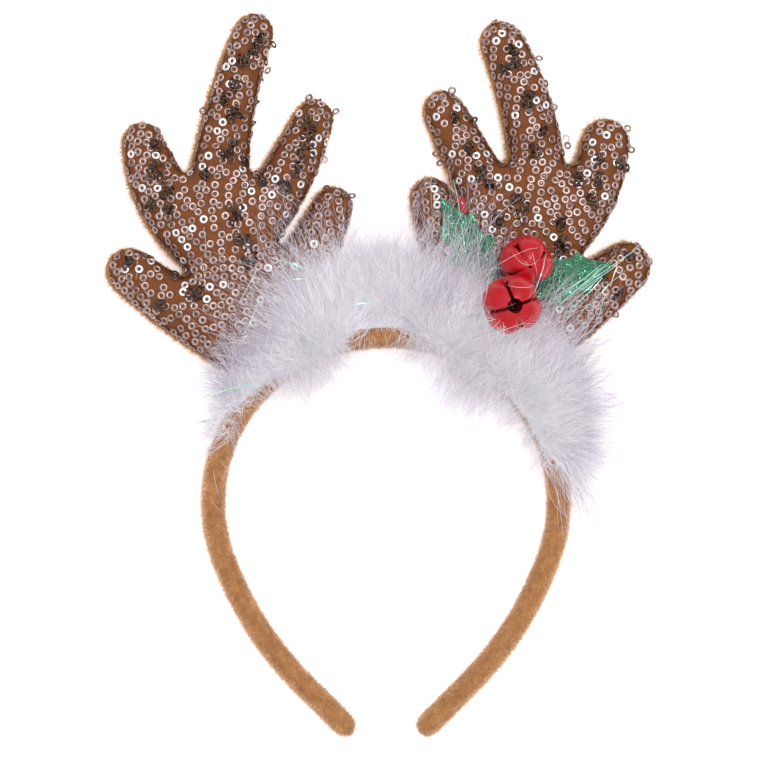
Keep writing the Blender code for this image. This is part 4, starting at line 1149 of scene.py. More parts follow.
heart_mesh = even_copy("marabou_trim", "marabou_heart", 1.5 * MM, 4)
heart_spots = np.array([v.co[:] for v in heart_mesh.vertices])
heart_normals = np.array([v.normal[:] for v in heart_mesh.vertices])
heart_places, heart_across = nearest_on_band(heart_spots)
heart_centres = along_band(heart_places, 0 * heart_places, 0 * heart_places + BAND_DEPTH / 2)
facing_out = ((heart_spots - heart_centres) * heart_normals).sum(1) > 0
thickness = np.linalg.norm(heart_spots - heart_centres, axis=1) - BAND_DEPTH / 2
bareness = 1 - down_left_on(heart_places, heart_across)
drawn = np.where(facing_out, np.clip(HEART_SHARE * thickness, 0, HEART_INSET), 0.0)
drawn = np.where(heart_across < 0, np.maximum(drawn, 0.8 * thickness), drawn)
drawn = np.maximum(drawn, np.minimum(1.6 * bareness, 1) * (thickness + 2.2 * MM))
past_edge = heart_across - BAND_THICK / 2 - HEART_REACH * trim_at(heart_places)[0]
drawn = np.maximum(drawn, np.clip(past_edge, 0, np.maximum(thickness, 0)))
heart_spots -= unit(heart_spots - heart_centres) * drawn[:, None]
heart_spots[:, 2] = np.maximum(heart_spots[:, 2], 0.3 * MM)
heart_mesh.vertices.foreach_set("co", heart_spots.ravel())
heart_mesh.update()
heart = piece("marabou_heart", heart_mesh, down_ground, ["marabou_trim"])
print("heart:", len(heart_mesh.polygons), "faces")

# %% Short down over the heart
DOWN_COUNT = 29000
DOWN_WIDTH = 0.13 * MM
DOWN_SPLIT = 8.0 * MM


BELL_CLEAR = 9.0 * MM
BELL_OPEN_TOWARD = np.array([0.9, 1.5]) * MM


def off_the_bells(roots, reach, arch):
    """Which strips keep out of the bells and clear of their fronts all along."""
    clear = np.ones(len(roots), bool)
    for name in ("upper", "lower"):
        low, high = (np.array(corner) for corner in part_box(f"jingle_bell_{name}"))
        middle, radius = (low + high) / 2, (high[0] - low[0]) / 2 + 0.6 * MM
        for share in (0, 0.2, 0.4, 0.6, 0.8, 1):
            away = roots + reach * share + arch * 4 * share * (1 - share) - middle
            clear &= np.linalg.norm(away, axis=1) > radius
            clear &= (np.linalg.norm(away[:, :2] - BELL_OPEN_TOWARD, axis=1) > BELL_CLEAR) | (away[:, 2] < 0)
    return clear


def short_down(name, left, right, seed):
    """Down that stands out of the heart between two distances along the band and leans away from the cord."""
    chance = np.random.default_rng(seed)

    def kept(spots):
        places, _ = nearest_on_band(spots)
        return ((places > left) & (places <= right)).astype(float)

    roots, normals = scattered(heart_mesh, DOWN_COUNT, chance, kept)
    places, across = nearest_on_band(roots)
    stays = chance.random(len(roots)) < down_left_on(places, across) ** 1.3
    roots, normals, places, across = (a[stays] for a in (roots, normals, places, across))
    centres = along_band(places, 0 * places, 0 * places + BAND_DEPTH / 2)
    away = unit(roots - centres)
    chosen = (away * normals).sum(1) > 0.05
    roots, normals, places, across, away = (a[chosen] for a in (roots, normals, places, across, away))
    count = len(roots)
    outward = outward_at(places) * np.sign(across)[:, None]
    lean = unit(0.55 * normals + 0.5 * away + 0.6 * outward + chance.normal(0, 0.33, (count, 3)))
    room, inner, _ = trim_at(places)
    lengths = chance.uniform(4.5, 9.0, count) * MM * np.clip(np.where(across > 0, room, inner) / (13 * MM), 0.5, 1.15)
    reach = lean * lengths[:, None]
    arch = chance.normal(0, 0.12, (count, 3)) * lengths[:, None]
    side = unit(np.cross(reach, normals + chance.normal(0, 0.6, (count, 3))))
    tone = edge_tone(places, across, chance)
    kept = off_the_bells(roots, reach, arch)
    roots, reach, arch, side, away, tone = (a[kept] for a in (roots, reach, arch, side, away, tone))
    return strips(name, strip_3, roots - away * 0.4 * MM, reach, arch, side, tone, white_down,
                  "marabou", Width=DOWN_WIDTH, Taper=0.85, Lock_Size=3.5 * MM, Lock_Sway=1.1,
                  Curl_Size=1.6 * MM, Curl_Sway=0.55, Lowest=0.1 * MM)


short_down("marabou_down_left", TRIM_LEFT - 9 * MM, -DOWN_SPLIT, 51)
short_down("marabou_down_middle", -DOWN_SPLIT, 34 * MM, 52)
short_down("marabou_down_right", 34 * MM, TRIM_RIGHT + 9 * MM, 53)

# %% [markdown]
# The long barbs start on the cord, which lies along the front and the outer side of the band, rise over the
# heart and come down towards the trim's edge. Away from the head they are long and dense. Towards the head
# they are short and few, so that the plush shows between them, as it does at the crown. The last and finest
# layer reaches past the edge and over the antlers' feet, where it veils the sequins. Tips that are neighbours
# draw together in tufts, and none lies over the bells' fronts.

# %% Long barbs and wisps
ground = tree_of(*[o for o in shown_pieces() if o.type == "MESH" and "pile" not in o.name
                   and "down" not in o.name and "thread" not in o.name and "sequin" not in o.name])


def surface_height(spots):
    """How high the object stands at each (x, y), 0 where only the table is."""
    heights = []
    for x, y in spots[:, :2]:
        hit = ground.ray_cast(Vector((x, y, 0.1)), DOWN)
        heights.append(max(hit[0].z, 0.0) if hit[0] else 0.0)
    return np.array(heights)


BARBS = (
    # name, count, from and to in mm, side, root across in mm, root up in mm, reach, tip over what lies under in mm,
    # bow in mm, lean along, width in mm, template, finish
    ("marabou_barbs_left", 6500, -76, -12, 1, (-1.5, 6.0), (8.0, 13.0), (0.3, 1.1), (0.3, 3.5), (1.0, 5.0),
     0.8, 0.11, strip_5, white_down),
    ("marabou_barbs_crown", 7500, -22, 24, 1, (5.0, 8.5), (2.0, 9.5), (0.25, 1.0), (0.2, 3.0), (0.5, 4.0),
     0.8, 0.11, strip_5, white_down),
    ("marabou_barbs_right", 8500, 20, 86, 1, (-3.5, 5.0), (8.0, 13.0), (0.3, 1.05), (0.3, 3.5), (1.0, 5.0),
     0.8, 0.11, strip_5, white_down),
    ("marabou_inner_barbs", 2600, -74, 86, -1, (-1.0, 3.5), (9.0, 13.0), (0.5, 1.9), (0.5, 3.0), (0.5, 2.5),
     0.9, 0.09, strip_5, white_down),
    ("marabou_veil_left", 800, -62, -31, 1, (1.0, 6.0), (6.0, 14.0), (0.9, 2.9), (0.6, 4.0), (1.0, 5.0),
     0.9, 0.11, strip_8, single_barbs),
    ("marabou_wisps_out", 3800, -84, 99, 1, (1.0, 6.0), (6.0, 14.0), (0.75, 1.9), (0.8, 6.0), (1.0, 7.0),
     1.0, 0.16, strip_8, single_barbs),
    ("marabou_wisps_in", 900, -80, 94, -1, (-2.0, 2.0), (8.0, 13.0), (1.3, 3.4), (0.5, 6.0), (0.5, 5.0),
     1.6, 0.10, strip_8, single_barbs),
)
TUFT = 17
SPLAY_FROM, SPLAY = 58 * MM, 0.55


def barbs(name, count, start, end, side, across, up, reach, over, bow, lean, width, template, finish, seed):
    chance = np.random.default_rng(seed)
    places = chance.uniform(start, end, count * 2) * MM
    room = trim_at(places)[0 if side > 0 else 1]
    weight = (room + 6 * MM) / (room + 6 * MM).max()
    root_across = chance.uniform(*across, count * 2) * MM
    chosen = (chance.random(count * 2) < weight) & (
        chance.random(count * 2) < 0.12 + 0.88 * down_left_on(places, np.maximum(root_across, 0) * side))
    places, root_across = places[chosen][:count], root_across[chosen][:count]
    count = len(places)
    room = trim_at(places)[0 if side > 0 else 1]
    roots = along_band(places, root_across, chance.uniform(*up, count) * MM)
    far = room * (reach[0] + (reach[1] - reach[0]) * chance.random(count) ** 1.25)
    splay = np.sign(places) * np.maximum(np.abs(places) - SPLAY_FROM, 0) * SPLAY
    tip_places = places + splay * chance.uniform(0.2, 1.6, count)
    tip_places += chance.normal(0, lean, count) * np.minimum(far, 12 * MM)
    tips = along_band(tip_places, side * (far + BAND_THICK / 2), 0 * places)
    leaders = chance.choice(count, count // TUFT)
    nearest = ((tips[:, None, :2] - tips[None, leaders, :2]) ** 2).sum(2).argmin(1)
    tips += (tips[leaders][nearest] - tips) * chance.uniform(0.3, 0.9, count)[:, None]
    tips[:, 2] = surface_height(tips) + chance.uniform(*over, count) * MM
    span = tips - roots
    arch = np.zeros_like(span)
    arch[:, 2] = chance.uniform(*bow, count) * MM
    arch[:, :2] = chance.normal(0, 0.1, (count, 2)) * np.linalg.norm(span, axis=1, keepdims=True)
    middle = roots + span / 2 + arch
    clear = surface_height(middle) + chance.uniform(0.2, 1.5, count) * MM - middle[:, 2]
    arch[:, 2] += np.maximum(clear, 0)
    width_way = unit(np.cross(span, np.array([0, 0, 1.0]) + chance.normal(0, 0.5, (count, 3))))
    tone = edge_tone(places, side * far, chance)
    kept = off_the_bells(roots, span, arch)
    roots, span, arch, width_way, tone = (a[kept] for a in (roots, span, arch, width_way, tone))
    return strips(name, template, roots, span, arch, width_way, tone, finish, "marabou",
                  Width=width * MM, Taper=0.9, Lock_Size=6.0 * MM, Lock_Sway=0.5, Curl_Size=3.5 * MM,
                  Curl_Sway=0.35, Lowest=0.1 * MM)


for index, row in enumerate(BARBS):
    barbs(*row, seed=60 + index)

# %% [markdown]
# The holly leaves are die cut from green glitter cloth: a stiff thin sheet with five spikes to a side, folded
# a little along its middle, with the veins pressed in. The sheet is filled with small triangles inside its
# outline, raised by the fold, the arch and the veins, and then given its thickness. The glitter is real
# flakes, hundreds to a leaf, put on by the same tree as the sequins and leaning every way, so that a few of
# them always catch the lamp.

# %% Glitter cloth materials
glitter, glitter_tree, glitter_shader = principled("green_glitter_flakes", Metallic=0.9, Roughness=0.25,
                                                   Coat_Weight=0.2, Coat_Roughness=0.08)
flake_tone = use_group(glitter_tree, dye_and_tip_light, Dark=(0.003, 0.045, 0.018, 1), Middle=(0.016, 0.18, 0.075, 1),
                       Light=(0.14, 0.60, 0.34, 1), Cloud_Size=2 * MM, Fibre=attribute(glitter_tree, "chance"))
glitter_tree.links.new(flake_tone.outputs["Color"], glitter_shader.inputs["Base Color"])

leaf_cloth, leaf_tree, leaf_shader = principled("green_leaf_cloth", Sheen_Weight=0.2, Coat_Weight=0.6,
                                                Coat_Roughness=0.15)
leaf_tone = use_group(leaf_tree, dye_and_tip_light, Dark=(0.004, 0.045, 0.018, 1), Middle=(0.015, 0.15, 0.06, 1),
                      Light=(0.06, 0.33, 0.16, 1), Cloud_Size=1.4 * MM, Fibre=0.25)
leaf_tree.links.new(leaf_tone.outputs["Color"], leaf_shader.inputs["Base Color"])
leaf_marks = use_group(leaf_tree, marks, Size=0.6 * MM, Least=0.3, Most=0.6)
leaf_tree.links.new(leaf_marks.outputs["Roughness"], leaf_shader.inputs["Roughness"])
bumped(leaf_tree, leaf_shader, leaf_marks.outputs["Mask"], 0.25 * MM)

# %% The holly leaves
LEAF_LENGTH, LEAF_WIDTH, LEAF_THICK = 39.0 * MM, 20.6 * MM, 0.5 * MM
LEAF_FOLD, LEAF_ARCH, LEAF_SCALLOP = math.radians(12), 2.4 * MM, 0.30
LEAF_SPIKES = ((0.00, 0.10), (0.15, 0.72), (0.41, 1.00), (0.70, 0.78), (1.00, 0.00))
LEAF_STEPS, LEAF_GRID = 10, 0.8 * MM
LEAVES = (
    # side, foot on the antler as (x, y) in mm, heading in degrees
    ("left", (40.0, 17.5), 120),
    ("right", (47.0, 16.5), 15),
)
FLAKES, FLAKE_SIZE = 1300, 0.26 * MM


def leaf_edge():
    edge = []
    for (along, wide), (next_along, next_wide) in zip(LEAF_SPIKES, LEAF_SPIKES[1:]):
        for step in range(LEAF_STEPS):
            part = step / LEAF_STEPS
            hollow = 1 - LEAF_SCALLOP * 4 * part * (1 - part)
            edge.append(Vector(((along + (next_along - along) * part) * LEAF_LENGTH,
                                (wide + (next_wide - wide) * part) * hollow * LEAF_WIDTH / 2)))
    edge.append(Vector((LEAF_LENGTH, 0)))
    return (edge + [Vector((p.x, -p.y)) for p in reversed(edge[:-1])])[::-1]


def leaf_height(x, y):
    """Rise of the sheet over its foot: the fold, the arch, the pressed veins and a slight curl at the spikes."""
    part = x / LEAF_LENGTH
    rise = abs(y) * math.tan(LEAF_FOLD) + LEAF_ARCH * 4 * part * (1 - part)
    rise -= 0.30 * MM * math.exp(-(y / (0.6 * MM)) ** 2)
    for vein in (0.12, 0.30, 0.50, 0.70):
        off = (x - vein * LEAF_LENGTH) - abs(y) * 0.95
        rise -= 0.22 * MM * math.exp(-(off / (0.55 * MM)) ** 2) * min(1, abs(y) / MM)
    return rise + 0.45 * MM * noise.noise(Vector((x, y, 0)) * 300)


def leaf_mesh(name, foot, heading, low):
    edge = leaf_edge()
    spots = [p.copy() for p in edge]
    loop = list(range(len(edge)))
    for row in range(int(LEAF_WIDTH / LEAF_GRID) + 1):
        for column in range(int(LEAF_LENGTH / LEAF_GRID) + 1):
            spots.append(Vector(((column + 0.5 * (row % 2)) * LEAF_GRID, row * LEAF_GRID - LEAF_WIDTH / 2)))
    found, _, triangles = delaunay_2d_cdt(spots, [], [loop], 1, 1e-7)[:3]
    turn = Matrix.Rotation(heading, 2)
    points = []
    for p in found:
        flat = turn @ p
        points.append((flat.x + foot[0], flat.y + foot[1], leaf_height(p.x, p.y) + low))
    mesh = bpy.data.meshes.new(name)
    mesh.from_pydata(points, [], triangles)
    outward_faces(mesh)
    if mesh.polygons[0].normal.z < 0:
        mesh.flip_normals()
    return mesh


hexagon = bpy.data.meshes.new("glitter_flake")
hexagon.from_pydata([(FLAKE_SIZE * math.cos(k * math.pi / 3), FLAKE_SIZE * math.sin(k * math.pi / 3), 0)
                     for k in range(6)], [], [tuple(range(6))])
flake = bpy.data.objects.new("glitter_flake", hexagon)
for (side, foot, heading), seed in zip(LEAVES, (71, 72)):
    node = f"holly_leaf_{side}"
    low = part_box(node)[0].z
    top = leaf_mesh(f"{node}_cloth", (foot[0] * MM, foot[1] * MM), math.radians(heading), low + 0.8 * MM)
    spots, normals = scattered(top, FLAKES, np.random.default_rng(seed))
    sheet = piece(f"{node}_cloth", top, leaf_cloth, [node])
    thick = sheet.modifiers.new("thickness", "SOLIDIFY")
    thick.thickness, thick.offset = LEAF_THICK, -1.0
    chance = random.Random(seed)
    turns = [upright(Vector(n), abs(chance.gauss(0, math.radians(20))), chance.uniform(0, 6.28),
                     chance.uniform(0, 6.28)) for n in normals]
    copies(f"{node}_glitter", flake, spots + normals * 0.06 * MM, turns,
           [chance.uniform(0.6, 1.25) for _ in spots], glitter, "holly_green",
           chance=[chance.random() ** 1.5 for _ in spots])

# %% [markdown]
# A jingle bell is pressed from thin sheet steel: a dome with a loop, and a bottom cut into four petals that
# are folded together, so that crossed slots stay open between them and meet in a round mouth. Its paint is a
# satin red. The shell is made large and fine: a sphere pressed in along the slots, hollowed and cut by
# Booleans as the CAD one is, and then remeshed very finely, which rounds every cut lip as paint does. It
# keeps the CAD bell's tilt and turn, and its box is set on the CAD node's box.

# %% Bell and bead materials
bell_red, bell_tree, bell_shader = principled("red_satin_lacquer", Specular_IOR_Level=0.25, Coat_Weight=0.25,
                                              Coat_Roughness=0.12)
bell_tone = use_group(bell_tree, dye_and_tip_light, Dark=(0.38, 0.002, 0.006, 1), Middle=(0.53, 0.005, 0.011, 1),
                      Light=(0.61, 0.010, 0.017, 1), Cloud_Size=3 * MM, Fibre=0.2)
bell_tree.links.new(bell_tone.outputs["Color"], bell_shader.inputs["Base Color"])
bell_marks = use_group(bell_tree, marks, Size=0.7 * MM, Least=0.30, Most=0.5)
bell_tree.links.new(bell_marks.outputs["Roughness"], bell_shader.inputs["Roughness"])
bumped(bell_tree, bell_shader, bell_marks.outputs["Mask"], 0.03 * MM)

# The ball's dark red colour is painted shade and a painted reflection of the red inside of the bell.
steel, steel_tree, steel_shader = principled("dull_steel", Metallic=1.0)
steel_painted_reflection = use_group(steel_tree, dye_and_tip_light, Dark=(0.20, 0.06, 0.06, 1), Middle=(0.34, 0.15, 0.15, 1),
                       Light=(0.45, 0.27, 0.27, 1), Cloud_Size=1.2 * MM, Fibre=0.2)
steel_tree.links.new(steel_painted_reflection.outputs["Color"], steel_shader.inputs["Base Color"])
steel_marks = use_group(steel_tree, marks, Size=0.5 * MM, Least=0.12, Most=0.3)
steel_tree.links.new(steel_marks.outputs["Roughness"], steel_shader.inputs["Roughness"])

bead_red, bead_tree, bead_shader = principled("red_gloss_bead", Coat_Weight=0.6, Coat_Roughness=0.03, IOR=1.49)
bead_tone = use_group(bead_tree, dye_and_tip_light, Dark=(0.20, 0.0, 0.005, 1), Middle=(0.42, 0.004, 0.008, 1),
                      Light=(0.60, 0.02, 0.015, 1), Cloud_Size=2 * MM, Fibre=0.2)
bead_tree.links.new(bead_tone.outputs["Color"], bead_shader.inputs["Base Color"])
bead_marks = use_group(bead_tree, marks, Size=0.6 * MM, Least=0.08, Most=0.2)
bead_tree.links.new(bead_marks.outputs["Roughness"], bead_shader.inputs["Roughness"])

# %% The jingle bells
BELL_RADIUS, BELL_WALL, BELL_DENT = 9.8 * MM, 0.6 * MM, 0.34
BELL_LOOP, BELL_WIRE = 1.4 * MM, 0.9 * MM
BELL_SKIN = 0.26 * MM
BELLS = (
    # name, tilt, heading and turn in degrees, spread, slot at its end and at the mouth, hole, its drop and mouth
    # in mm
    ("upper", 14, -62, -32, 1.02, 0.5, 0.3, 1.7, 1.4, 1.0),
    ("lower", 7, -45, -19, 1.13, 0.5, 1.0, 2.0, 1.8, 4.8),
)


def turned_body(radius, sides, rings, squeeze):
    """A sphere whose points are moved in by a rule, as a closed shape."""
    shape = bmesh.new()
    bmesh.ops.create_uvsphere(shape, u_segments=sides, v_segments=rings, radius=radius)
    for v in shape.verts:
        v.co = squeeze(v.co)
    return shape


def petal_squeeze(spot):
    around = abs(math.sin(2 * math.atan2(spot.y, spot.x)))
    down = min(max(0.62 - 1.5 * spot.z / BELL_RADIUS, 0), 1)
    dent = BELL_DENT * (1 - around) ** 2.2 * down
    return Vector((spot.x * (1 - dent), spot.y * (1 - dent), spot.z))


def to_object(name, shape):
    bmesh.ops.recalc_face_normals(shape, faces=shape.faces)
    mesh = bpy.data.meshes.new(name)
    shape.to_mesh(mesh)
    shape.free()
    made = bpy.data.objects.new(name, mesh)
    bpy.context.scene.collection.objects.link(made)
    return made


def drill(diameter, length, matrix):
    shape = bmesh.new()
    bmesh.ops.create_cone(shape, cap_ends=True, segments=32, radius1=diameter / 2, radius2=diameter / 2,
                          depth=length, matrix=matrix)
    return shape


def bell_mesh(name, slot_end, slot_mouth, hole, hole_drop, mouth):
    """A whole bell at the origin with its slots downwards. A slot is wider at the mouth than at its ends."""
    shell = to_object(name, turned_body(BELL_RADIUS, 96, 48, petal_squeeze))
    deep = 2 * BELL_RADIUS
    parts = []
    bpy.ops.mesh.primitive_torus_add(major_segments=32, minor_segments=10, major_radius=BELL_LOOP,
                                     minor_radius=BELL_WIRE / 2, location=(0, 0, BELL_RADIUS + BELL_LOOP / 2),
                                     rotation=(math.pi / 2, 0, 0))
    parts.append((bpy.context.object, "UNION"))
    hollow = turned_body(BELL_RADIUS - BELL_WALL, 96, 48, petal_squeeze)
    parts.append((to_object("hollow", hollow), "DIFFERENCE"))
    parts.append((to_object("mouth", drill(mouth, deep, Matrix.Translation((0, 0, -deep / 2)))), "DIFFERENCE"))
    for turn in (0, math.pi / 2):
        turned = Matrix.Rotation(turn, 4, "Z") @ Matrix.Translation((0, 0, -hole_drop))
        slot = bmesh.new()
        bmesh.ops.create_grid(slot, x_segments=2, y_segments=1, size=0.5)
        bmesh.ops.scale(slot, vec=(2.2 * BELL_RADIUS, slot_end, 1), verts=slot.verts)
        for v in slot.verts:
            if abs(v.co.x) < TINY:
                v.co.y = math.copysign(slot_mouth / 2, v.co.y)
        deeper = bmesh.ops.extrude_face_region(slot, geom=slot.faces[:])["geom"]
        for v in deeper:
            if isinstance(v, bmesh.types.BMVert):
                v.co.z -= deep
        bmesh.ops.transform(slot, matrix=turned, verts=slot.verts)
        parts.append((to_object("slot", slot), "DIFFERENCE"))
        lying = turned @ Matrix.Rotation(math.pi / 2, 4, "Y")
        parts.append((to_object("hole", drill(hole, 2 * deep, lying)), "DIFFERENCE"))
    for other, operation in parts:
        cut = shell.modifiers.new(other.name, "BOOLEAN")
        cut.object, cut.operation, cut.solver = other, operation, "EXACT"
    remesh = shell.modifiers.new("lips", "REMESH")
    remesh.mode, remesh.voxel_size, remesh.use_smooth_shade = "VOXEL", BELL_SKIN, True
    soften = shell.modifiers.new("soften", "SMOOTH")
    soften.factor, soften.iterations = 0.5, 3
    mesh = applied(shell)
    for other in [shell] + [p for p, _ in parts]:
        bpy.data.objects.remove(other)
    return mesh


def box_middle(points):
    points = np.array(points)
    return Vector((points.max(0) + points.min(0)) / 2)


for name, tilt, heading, turn, spread, *cuts in BELLS:
    node = f"jingle_bell_{name}"
    mesh = bell_mesh(f"{node}_lacquered", *(cut * MM for cut in cuts))
    way = math.radians(heading)
    lean = Matrix.Rotation(math.radians(tilt), 4, Vector((-math.sin(way), math.cos(way), 0)))
    pose = lean @ Matrix.Rotation(math.pi, 4, "X") @ Matrix.Rotation(math.radians(turn), 4, "Z")
    mesh.transform(pose @ Matrix.Diagonal((spread, spread, 1, 1)))
    middle = (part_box(node)[0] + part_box(node)[1]) / 2
    mesh.transform(Matrix.Translation(middle - box_middle([v.co[:] for v in mesh.vertices])))
    print(node, len(mesh.polygons), "faces")
    piece(f"{node}_lacquered", mesh, bell_red, [node])
    ball_node = f"bell_ball_{name}"
    low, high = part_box(ball_node)
    radius = (high.z - low.z) / 2

    def dimpled(spot):
        """A cast ball with a faint parting seam and small dents from rattling."""
        seam = 0.012 * math.exp(-(spot.z / (0.25 * MM)) ** 2)
        return spot * (1 + seam - 0.02 * max(noise.noise(spot * 900), 0))

    shape = turned_body(radius, 32, 20, dimpled)
    bmesh.ops.translate(shape, vec=(low + high) / 2, verts=shape.verts)
    ball = to_object(f"{ball_node}_steel", shape)
    ball_mesh = ball.data
    ball_mesh.shade_smooth()
    bpy.data.objects.remove(ball)
    piece(f"{ball_node}_steel", ball_mesh, steel, [ball_node])

# %% [markdown]
# The bead beside the left leaf is a small oval of glossy red plastic, bored through along its length for the
# thread that holds it. It is spun from a profile that turns in at both ends and runs back through the bore.

# %% The red bead
BEAD_HALF_LENGTH, BEAD_HALF_WIDTH, BEAD_BORE = 3.7 * MM, 1.6 * MM, 0.5 * MM
BEAD_TURN = math.radians(20)
BEAD_SHIFT = Vector((0.2, -1.0, 0)) * MM
profile = []
for k in range(15):
    t = math.pi * (0.5 + k) / 15
    profile.append((max(BEAD_HALF_WIDTH * math.sin(t), BEAD_BORE + 0.1 * MM), BEAD_HALF_LENGTH * math.cos(t)))
profile += [(BEAD_BORE, -BEAD_HALF_LENGTH * 0.92), (BEAD_BORE, 0.0), (BEAD_BORE, BEAD_HALF_LENGTH * 0.92)]
BEAD_SIDES = 28
points = [(r * math.cos(t), y, r * math.sin(t)) for t in np.arange(BEAD_SIDES) * 2 * math.pi / BEAD_SIDES
          for r, y in profile]
count = len(profile)
faces = [(i * count + k, (i + 1) % BEAD_SIDES * count + k, (i + 1) % BEAD_SIDES * count + (k + 1) % count,
          i * count + (k + 1) % count) for i in range(BEAD_SIDES) for k in range(count)]
bead_mesh = bpy.data.meshes.new("red_bead_gloss")
bead_mesh.from_pydata(points, [], faces)
bead_low, bead_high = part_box("red_bead")
bead_mesh.transform(Matrix.Translation((bead_low + bead_high) / 2 + BEAD_SHIFT) @ Matrix.Rotation(BEAD_TURN, 4, "Z"))
outward_faces(bead_mesh)
bead_mesh.shade_smooth()
piece("red_bead_gloss", bead_mesh, bead_red, ["red_bead"])
print("bead:", len(bead_mesh.polygons), "faces")

# %% [markdown]
# Seen from the front, a worn marabou trim has no parting. Short down lies across the cord every which way and
# hides where the long barbs start, except at the crown and at both ends, where the plush band shows.

# %% Down across the cord
CROSSING = 13000


def crossing_down(name, count, seed):
    chance = np.random.default_rng(seed)
    places = chance.uniform(TRIM_LEFT, TRIM_RIGHT, count)
    room, inner, _ = trim_at(places)
    across = chance.uniform(-0.5 * inner, 4 * MM + 0.5 * room, count)
    stays = chance.random(count) < down_left_on(places, across) ** 1.3
    places, across = places[stays], across[stays]
    count = len(places)
    roots = along_band(places, across, 0 * places)
    roots[:, 2] = surface_height(roots) + chance.uniform(-0.5, 1.0, count) * MM
    angle = chance.uniform(0, 2 * math.pi, count)
    length = chance.uniform(3.0, 8.0, count) * MM
    reach = np.stack([np.cos(angle), np.sin(angle), chance.uniform(-0.1, 0.35, count)], 1) * length[:, None]
    tips = roots + reach
    sunk = surface_height(tips) + chance.uniform(0.0, 2.0, count) * MM - tips[:, 2]
    reach[:, 2] += np.clip(sunk, -4 * MM, 6 * MM)
    arch = np.stack([chance.normal(0, 0.15, count), chance.normal(0, 0.15, count),
                     chance.uniform(0.05, 0.3, count)], 1) * length[:, None]
    side = unit(np.cross(reach, np.array([0, 0, 1.0]) + chance.normal(0, 0.5, (count, 3))))
    kept = off_the_bells(roots, reach, arch)
    tone = edge_tone(places, across, chance)
    return strips(name, strip_5, roots[kept], reach[kept], arch[kept], side[kept], tone[kept],
                  white_down, "marabou", Width=0.10 * MM, Taper=0.9, Lock_Size=4.0 * MM, Lock_Sway=0.8,
                  Curl_Size=2.5 * MM, Curl_Sway=0.5, Lowest=0.1 * MM)


crossing_down("marabou_crossing_down", CROSSING, 81)

# %% [markdown]
# A few strands of iridescent tinsel are spun in with the down. They are narrow strips of clear film that look
# green, aqua or pink by how they lie to the light. Each is set down by the two places in the picture where it
# starts and ends, and it lies a little over whatever is below it. A few single barbs of down that lie across
# the bells, the leaves and the bare ends of the band are set down in the same way.

# %% Tinsel
film, film_tree, film_shader = principled("iridescent_film", Metallic=0.2, Roughness=0.25, Coat_Weight=0.3,
                                          Coat_Roughness=0.08)
lying = add(film_tree, "ShaderNodeLayerWeight", {"Blend": 0.4}).outputs["Facing"]
hue_noise = add(film_tree, "ShaderNodeTexNoise",
                {"Vector": add(film_tree, "ShaderNodeTexCoord").outputs["Object"], "Scale": 120.0, "Detail": 1.0})
hue = add(film_tree, "ShaderNodeMath", {0: hue_noise.outputs["Fac"], 1: attribute(film_tree, "chance")},
          operation="ADD")
hue = add(film_tree, "ShaderNodeMath", {0: hue.outputs[0], 1: lying}, operation="ADD")
hue = add(film_tree, "ShaderNodeMath", {0: hue.outputs[0], 1: 1.6}, operation="DIVIDE")
film_ramp = add(film_tree, "ShaderNodeValToRGB", {0: hue.outputs[0]})
for position, colour in ((0.25, (0.52, 0.93, 0.50, 1)), (0.42, (0.36, 0.92, 0.76, 1)), (0.6, (0.70, 0.94, 0.84, 1)),
                         (0.72, (0.96, 0.90, 0.72, 1)), (0.86, (0.95, 0.62, 0.78, 1))):
    film_ramp.color_ramp.elements.new(position).color = colour
film_ramp.color_ramp.elements.remove(film_ramp.color_ramp.elements[0])
film_tree.links.new(film_ramp.outputs["Color"], film_shader.inputs["Base Color"])

TINSEL = (
    # start and end in the picture, tone from green, 0, to pink, 1, width in mm
    (200, 398, 252, 384, 0.05, 0.40), (250, 384, 262, 396, 0.0, 0.22), (258, 270, 240, 305, 0.30, 0.24),
    (269, 258, 325, 275, 0.15, 0.28), (325, 275, 382, 306, 0.45, 0.14), (293, 281, 308, 279, 0.10, 0.22),
    (277, 194, 300, 208, 0.05, 0.16), (337, 307, 380, 303, 0.12, 0.18), (424, 258, 423, 273, 0.20, 0.22),
    (548, 306, 604, 262, 0.15, 0.22), (552, 310, 612, 258, 0.10, 0.24), (556, 305, 640, 244, 0.25, 0.20),
    (550, 300, 596, 270, 0.30, 0.18), (560, 312, 606, 272, 0.05, 0.22), (566, 300, 645, 241, 0.20, 0.18),
    (570, 296, 600, 268, 0.35, 0.20), (562, 318, 600, 280, 0.10, 0.18), (575, 290, 610, 262, 0.02, 0.22),
    (545, 314, 590, 284, 0.30, 0.16), (609, 287, 616, 266, 0.55, 0.18), (597, 320, 602, 300, 0.15, 0.20),
    (580, 312, 624, 270, 0.20, 0.16), (528, 302, 544, 256, 0.62, 0.26), (453, 180, 461, 226, 0.02, 0.20),
    (461, 226, 466, 264, 0.05, 0.16), (442, 178, 457, 195, 0.40, 0.24), (444, 214, 441, 262, 0.30, 0.14),
    (380, 362, 440, 352, 0.95, 0.12), (470, 356, 500, 346, 0.90, 0.10), (350, 372, 410, 366, 0.95, 0.10),
    (430, 236, 452, 262, 0.20, 0.14), (600, 345, 630, 332, 0.90, 0.10), (345, 232, 366, 214, 0.90, 0.10),
    (240, 345, 262, 300, 0.30, 0.16), (352, 240, 372, 205, 0.92, 0.10),
)
